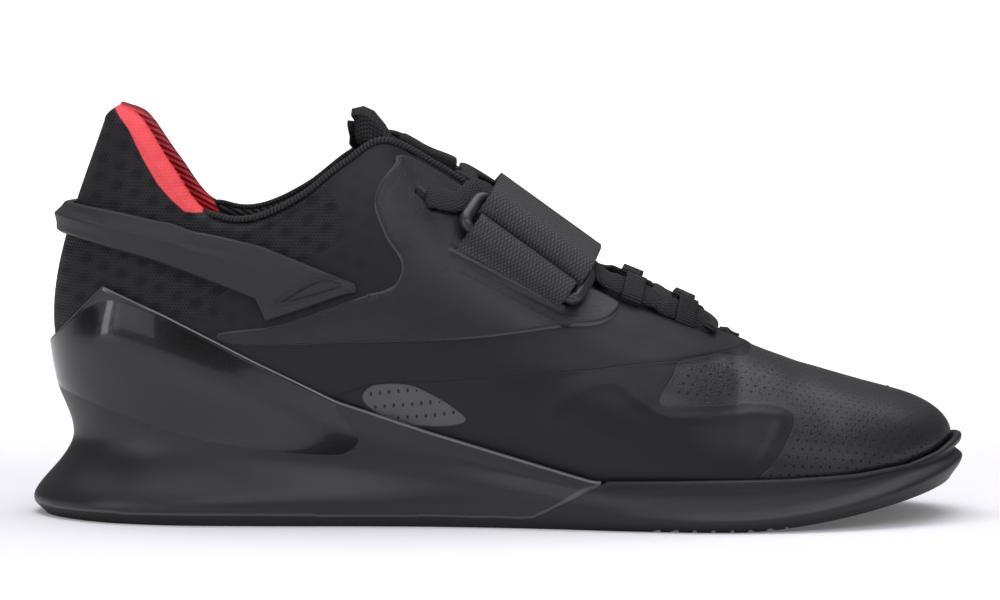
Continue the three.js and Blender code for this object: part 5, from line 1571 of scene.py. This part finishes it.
# %% Lace
LACE_WIDTH, LACE_THICKNESS, LOOP_WIDTH, LOOP_THICKNESS = 7.4, 2.3, 7.2, 1.0
SADDLE_SEAT = 3 * CLEARANCE + SADDLE_THICKNESS + LACE_THICKNESS / 2
LACE_ROWS = [(2.030, "vamp"), (1.975, "loop"), (1.865, "loop"), (1.700, "tongue"),
             (1.550, "tongue"), (1.460, "slot")]
LACE_SEAT = {"vamp": (0.86, 2 * CLEARANCE + LACE_THICKNESS / 2), "slot": (0.79, SADDLE_SEAT),
             "loop": (0.93, 4 * CLEARANCE + LOOP_THICKNESS + LACE_THICKNESS / 2)}
LACE_RUN = {"vamp": 0.0, "loop": LOOP_WIDTH / 2 + LACE_WIDTH / 2 + 4 * CLEARANCE, "tongue": 0.0, "slot": 0.0}
TONGUE_LIFT = 5 * CLEARANCE + LACE_THICKNESS / 2


def lace_stop(row, hand):
    """Where the lace lies at a row on one side: its centre, the way up and the way to the toe."""
    angle, at = row
    turned = angle if hand < 0 else 2 * np.pi - angle
    if at == "tongue":
        return tongue_section(angle)[5 if hand < 0 else 7] + strap_up * TONGUE_LIFT, strap_up, strap_along
    share, lift = LACE_SEAT[at]
    up = upper_normal(turned, share)
    along = unit(upper_point(angle + 0.03, share) - upper_point(angle - 0.03, share)) * [1, -hand, 1]
    return upper_point(turned, share) + up * lift, up, along


def crossing(angle, start, end, lift):
    """Middle of a run between two rows: on the line between them, or lifted to clear the tongue."""
    crown = tongue_section(min(angle, TONGUE_TO))[6] + strap_up * (TONGUE_LIFT + CLEARANCE)
    point = (start + end) / 2
    return point + strap_up * (max(LACE_THICKNESS / 4, (crown - point) @ strap_up) + lift)


def lace_half(hand):
    """Stops of one half of the lace, from the vamp to its slot; hand is the side it starts on."""
    stops = []
    for i, row in enumerate(LACE_ROWS):
        here, up, along = lace_stop(row, hand)
        run = LACE_RUN[row[1]]
        if row[1] == "slot":
            turned = row[0] if hand < 0 else 2 * np.pi - row[0]
            for shift, share, lean in ((0.105, 1.0, 0.6), (0.078, 0.90, 0.15), (0.045, 0.815, 0.0)):
                place = turned - hand * shift
                over = unit(upper_normal(place, min(share, 0.95)) * (1 - lean) + strap_up * lean)
                stops.append((upper_point(place, share) + over * (SADDLE_SEAT + CLEARANCE), over))
            sink = unit(here - stops[-1][0])
            return stops + [(here + sink * 0.6 - up * 1.5, up), (here + sink * 0.9 - up * 4.5, up)]
        stops += [(here + along * run, up)] + ([(here, up), (here - along * run, up)] if run else [])
        after = lace_stop(LACE_ROWS[i + 1], -hand)
        lift = (0.55 if (hand < 0) == (i % 2 == 0) else -0.25) * LACE_THICKNESS
        next_angle, next_at = LACE_ROWS[i + 1]
        end = after[0] + after[2] * LACE_RUN[next_at]
        middle = crossing((row[0] + next_angle) / 2, stops[-1][0], end, lift)
        stops.append((middle, strap_up))
        hand = -hand
    return stops


halves = [lace_half(hand) for hand in (-1, 1)]
vamp_middle = (halves[0][0][0] + halves[1][0][0]) / 2 + strap_up * LACE_THICKNESS * 0.8
lace_stops = [*halves[0][::-1], (vamp_middle, strap_up), *halves[1]]
lace_line = curve_through([np.concatenate([point, up]) for point, up in lace_stops], 900)
turn = np.linspace(0, 2 * np.pi, 25)[:-1]
lace_section = np.stack([LACE_WIDTH / 2 * np.sign(np.cos(turn)) * np.abs(np.cos(turn)) ** 0.8,
                         -LACE_THICKNESS / 2 * np.sin(turn)], -1)[::-1]
lace_finish = finish("woven_lace", weave_colour(1.05, 0.003, 0.045), 0.72, weave_height(1.05), depth=0.45,
                     specular=0.25)
strip_piece("laces_visual", lace_line[:, :3], unit(lace_line[:, 3:]), lace_section, lace_finish,
            ["laces"])

# %% [markdown]
# The loops are narrow ribbed webbing that closes round the lace, with flattened sides. Each is one
# strip along a rounded rectangle, so it stays clear of the lace all round.

# %% Loops of the lace
loop_finish = finish("ribbed_loop", lambda tree: mix(tree, rib_lines(tree), grey(0.006), grey(0.032)), 0.6,
                     lambda tree: rib_lines(tree), depth=0.25, specular=0.3)
INNER_WIDE, INNER_HIGH = LACE_WIDTH / 2 + 3 * CLEARANCE, LACE_THICKNESS / 2 + CLEARANCE
loop_turn = np.linspace(0, 2 * np.pi, 97)
loop_rows = [row for row in LACE_ROWS if row[1] == "loop"]
for hand, side_name in ((-1, "lateral"), (1, "medial")):
    for i, row in enumerate(loop_rows):
        centre, up, along = lace_stop(row, hand)
        across = unit(np.cross(up, along))
        wide = (INNER_WIDE + LOOP_THICKNESS / 2) * np.sign(np.cos(loop_turn)) * np.abs(np.cos(loop_turn)) ** 0.55
        high = (INNER_HIGH + LOOP_THICKNESS / 2) * np.sign(np.sin(loop_turn)) * np.abs(np.sin(loop_turn)) ** 0.55
        line = centre + wide[:, None] * across + high[:, None] * up
        ups = unit(wide[:, None] / INNER_WIDE ** 2 * across + high[:, None] / INNER_HIGH ** 2 * up)
        strip_piece(f"loop_{side_name}_{i + 1}_visual", line, ups, strip_section(LOOP_WIDTH, LOOP_THICKNESS, 0.35, 8),
                    loop_finish, [f"lace_loop_{side_name}_{i + 1}"])

# %% [markdown]
# The insole is a thin pad on the foot bed. Its rows run from one side of the lining to the other.
# Only a little of it can be seen, so it is a smooth pad with a rounded edge.

# %% Insole
INSOLE_THICKNESS = 4.0
folded = np.linspace(0.02, np.pi - 0.02, 120)
low_share, inset = 1 / 11, UPPER_WALL + 2 * CLEARANCE
sides = []
for angle in (folded, 2 * np.pi - folded):
    low, high = (upper_point(angle, share) - upper_normal(angle, share) * inset
                 for share in (np.zeros(120), np.full(120, low_share)))
    level = foot_point(angle)[:, 2] + INSOLE_THICKNESS / 2
    t = np.maximum(0, (level - low[:, 2]) / (high[:, 2] - low[:, 2]))
    sides.append(low + (high - low) * t[:, None])
v = 0.5 - 0.5 * np.cos(np.pi * np.linspace(0, 1, 25))
bed = sides[0][:, None] * (1 - v[None, :, None]) + sides[1][:, None] * v[None, :, None]
bed_away = np.minimum(v, 1 - v)[None, :] * np.linalg.norm(sides[1] - sides[0], axis=1)[:, None]
bed_rise = INSOLE_THICKNESS / 2 * rounded_edge(bed_away, 2.0)
top_bed, low_bed = bed.copy(), bed.copy()
top_bed[..., 2] += bed_rise
low_bed[..., 2] -= bed_rise
insole_grid = np.concatenate([top_bed, low_bed[:, ::-1], top_bed[:, :1]], axis=1)
insole_grid = np.concatenate([insole_grid[:1].mean(axis=1, keepdims=True) + 0 * insole_grid[:1], insole_grid,
                              insole_grid[-1:].mean(axis=1, keepdims=True) + 0 * insole_grid[-1:]])
insole_finish = finish("insole_knit", grey(0.012), 0.85, grain_height(1.0), depth=0.1, specular=0.2)
make_piece("insole_visual", insole_grid, grid_faces(*insole_grid.shape[:2]), [insole_finish],
           ["insole"])

# %% [markdown]
# A ribbed cord binds the edge of the collar and the throat in front of the coral roll.
# It is the strip helper once more, with a round section; its twist is a relief of slanted ribs.

# %% Cords of the collar
CORD_RADIUS = 1.05
turn = np.linspace(0, 2 * np.pi, 17)[:-1]
cord_section = CORD_RADIUS * np.stack([np.cos(turn), -np.sin(turn)], -1)[::-1]
cord_finish = finish("collar_cord", lambda tree: mix(tree, cord_ribs(tree), grey(0.010), grey(0.040)), 0.7,
                     lambda tree: cord_ribs(tree), depth=0.15, specular=0.25)
CORD_STEPS = 260
cord_half = np.linspace(0.89, 1.97, CORD_STEPS)
edge_share = np.full(CORD_STEPS, 0.965)
ends = rounded_edge(np.minimum(np.arange(CORD_STEPS), CORD_STEPS - 1 - np.arange(CORD_STEPS)), 12.0)
for side_name, angles_along in (("lateral", cord_half), ("medial", 2 * np.pi - cord_half)):
    ups = upper_normal(angles_along, edge_share)
    line = upper_point(angles_along, edge_share) + ups * (0.35 - 1.6 * (1 - ends))[:, None]
    strip_piece(f"collar_cord_{side_name}", line, ups, cord_section, cord_finish, ["upper"])


# %% [markdown]
# The shoe stands on a plain pale floor in soft studio light. The camera looks across it from the
# outer side, a little above level, from 1.8 m away, so that the lens hardly distorts it.

# %% Floor, lights and camera
CAMERA_DISTANCE = 1.8
CAMERA_RISE = np.radians(4.5)
CAMERA_ROLL = np.radians(0.29)
AIM = np.array([0.0, 0.0, 0.0689])


def soft_light(name, place, target, size, power, colour=(0.94, 0.93, 1.0)):
    """A soft rectangular light that faces a target."""
    data = bpy.data.lights.new(name, "AREA")
    data.shape = "RECTANGLE"
    data.size, data.size_y = size
    data.energy = power
    data.color = colour
    light = bpy.data.objects.new(name, data)
    bpy.context.scene.collection.objects.link(light)
    light.location = place
    light.rotation_mode = "QUATERNION"
    light.rotation_quaternion = (Vector(place) - Vector(target)).to_track_quat("Z", "Y")
    return light


floor_finish = finish("pale_floor", (0.93, 0.93, 0.93, 1.0), 0.9, specular=0.0)
floor_tree = floor_finish.node_tree
behind = floor_tree.nodes.new("ShaderNodeSeparateXYZ")
floor_tree.links.new(floor_tree.nodes.new("ShaderNodeTexCoord").outputs["Object"], behind.inputs[0])
glow = mix(floor_tree, ramp(floor_tree, behind.outputs["Y"], 0.1, 1.2), (0.1, 0.1, 0.1, 1), (1, 1, 1, 1))
floor_tree.links.new(glow, floor_tree.nodes["Principled BSDF"].inputs["Emission Color"])
seen = floor_tree.nodes.new("ShaderNodeLightPath").outputs["Is Camera Ray"]
floor_tree.links.new(seen, floor_tree.nodes["Principled BSDF"].inputs["Emission Strength"])
FLOOR_HALF, WALL_Y, CURVE_STEPS = 8.0, 4.0, 16
turn = np.linspace(0, np.pi / 2, CURVE_STEPS)
profile = [(-FLOOR_HALF, 0.0), *[(WALL_Y + np.sin(a), 1 - np.cos(a)) for a in turn], (WALL_Y + 1, 6.0)]
cloth = np.array([[(sx * FLOOR_HALF, y, z) for y, z in profile] for sx in (-1, 1)])
floor_mesh = bpy.data.meshes.new("floor")
floor_mesh.from_pydata(cloth.reshape(-1, 3).tolist(), [], grid_faces(2, len(profile)).tolist())
floor_mesh.polygons.foreach_set("use_smooth", np.ones(len(floor_mesh.polygons), bool))
floor_mesh.materials.append(floor_finish)
floor = bpy.data.objects.new("floor", floor_mesh)
bpy.context.scene.collection.objects.link(floor)

world = bpy.data.worlds.new("studio")
world.use_nodes = True
world.node_tree.nodes["Background"].inputs["Color"].default_value = (0.94, 0.93, 1.0, 1)
world.node_tree.nodes["Background"].inputs["Strength"].default_value = 0.15
bpy.context.scene.world = world
soft_light("top", (0.0, 0.1, 1.5), (0, 0, 0), (1.6, 1.2), 15)
soft_light("front_high", (0.25, -1.3, 1.25), (0.02, 0, 0.05), (1.4, 0.6), 8)
soft_light("left_strip", (-1.2, -0.7, 0.5), (-0.05, 0, 0.05), (0.2, 1.0), 3)
soft_light("left_box", (-1.1, -1.5, 0.5), (-0.1, 0, 0.06), (1.0, 0.7), 2.4)
soft_light("edge_strip", (-0.1, 0.75, 1.25), (0, 0, 0.06), (2.2, 0.1), 4)
soft_light("right_strip", (1.3, -0.9, 0.7), (0.05, 0, 0.05), (0.4, 1.0), 3)

camera_data = bpy.data.cameras.new("camera")
camera_data.sensor_width = 36.0
camera_data.lens = 201.3
camera = bpy.data.objects.new("camera", camera_data)
bpy.context.scene.collection.objects.link(camera)
back = np.array([0, -np.cos(CAMERA_RISE), np.sin(CAMERA_RISE)])
camera.location = AIM + CAMERA_DISTANCE * back
camera.rotation_mode = "QUATERNION"
camera.rotation_quaternion = Vector(-back).to_track_quat("-Z", "Y")
camera.rotation_quaternion.rotate(Matrix.Rotation(CAMERA_ROLL, 3, Vector(back)))
camera_data.clip_start, camera_data.clip_end = 0.1, 50
bpy.context.scene.camera = camera
bpy.context.scene.view_settings.view_transform = "Standard"
print("camera at", np.array(camera.location).round(3))
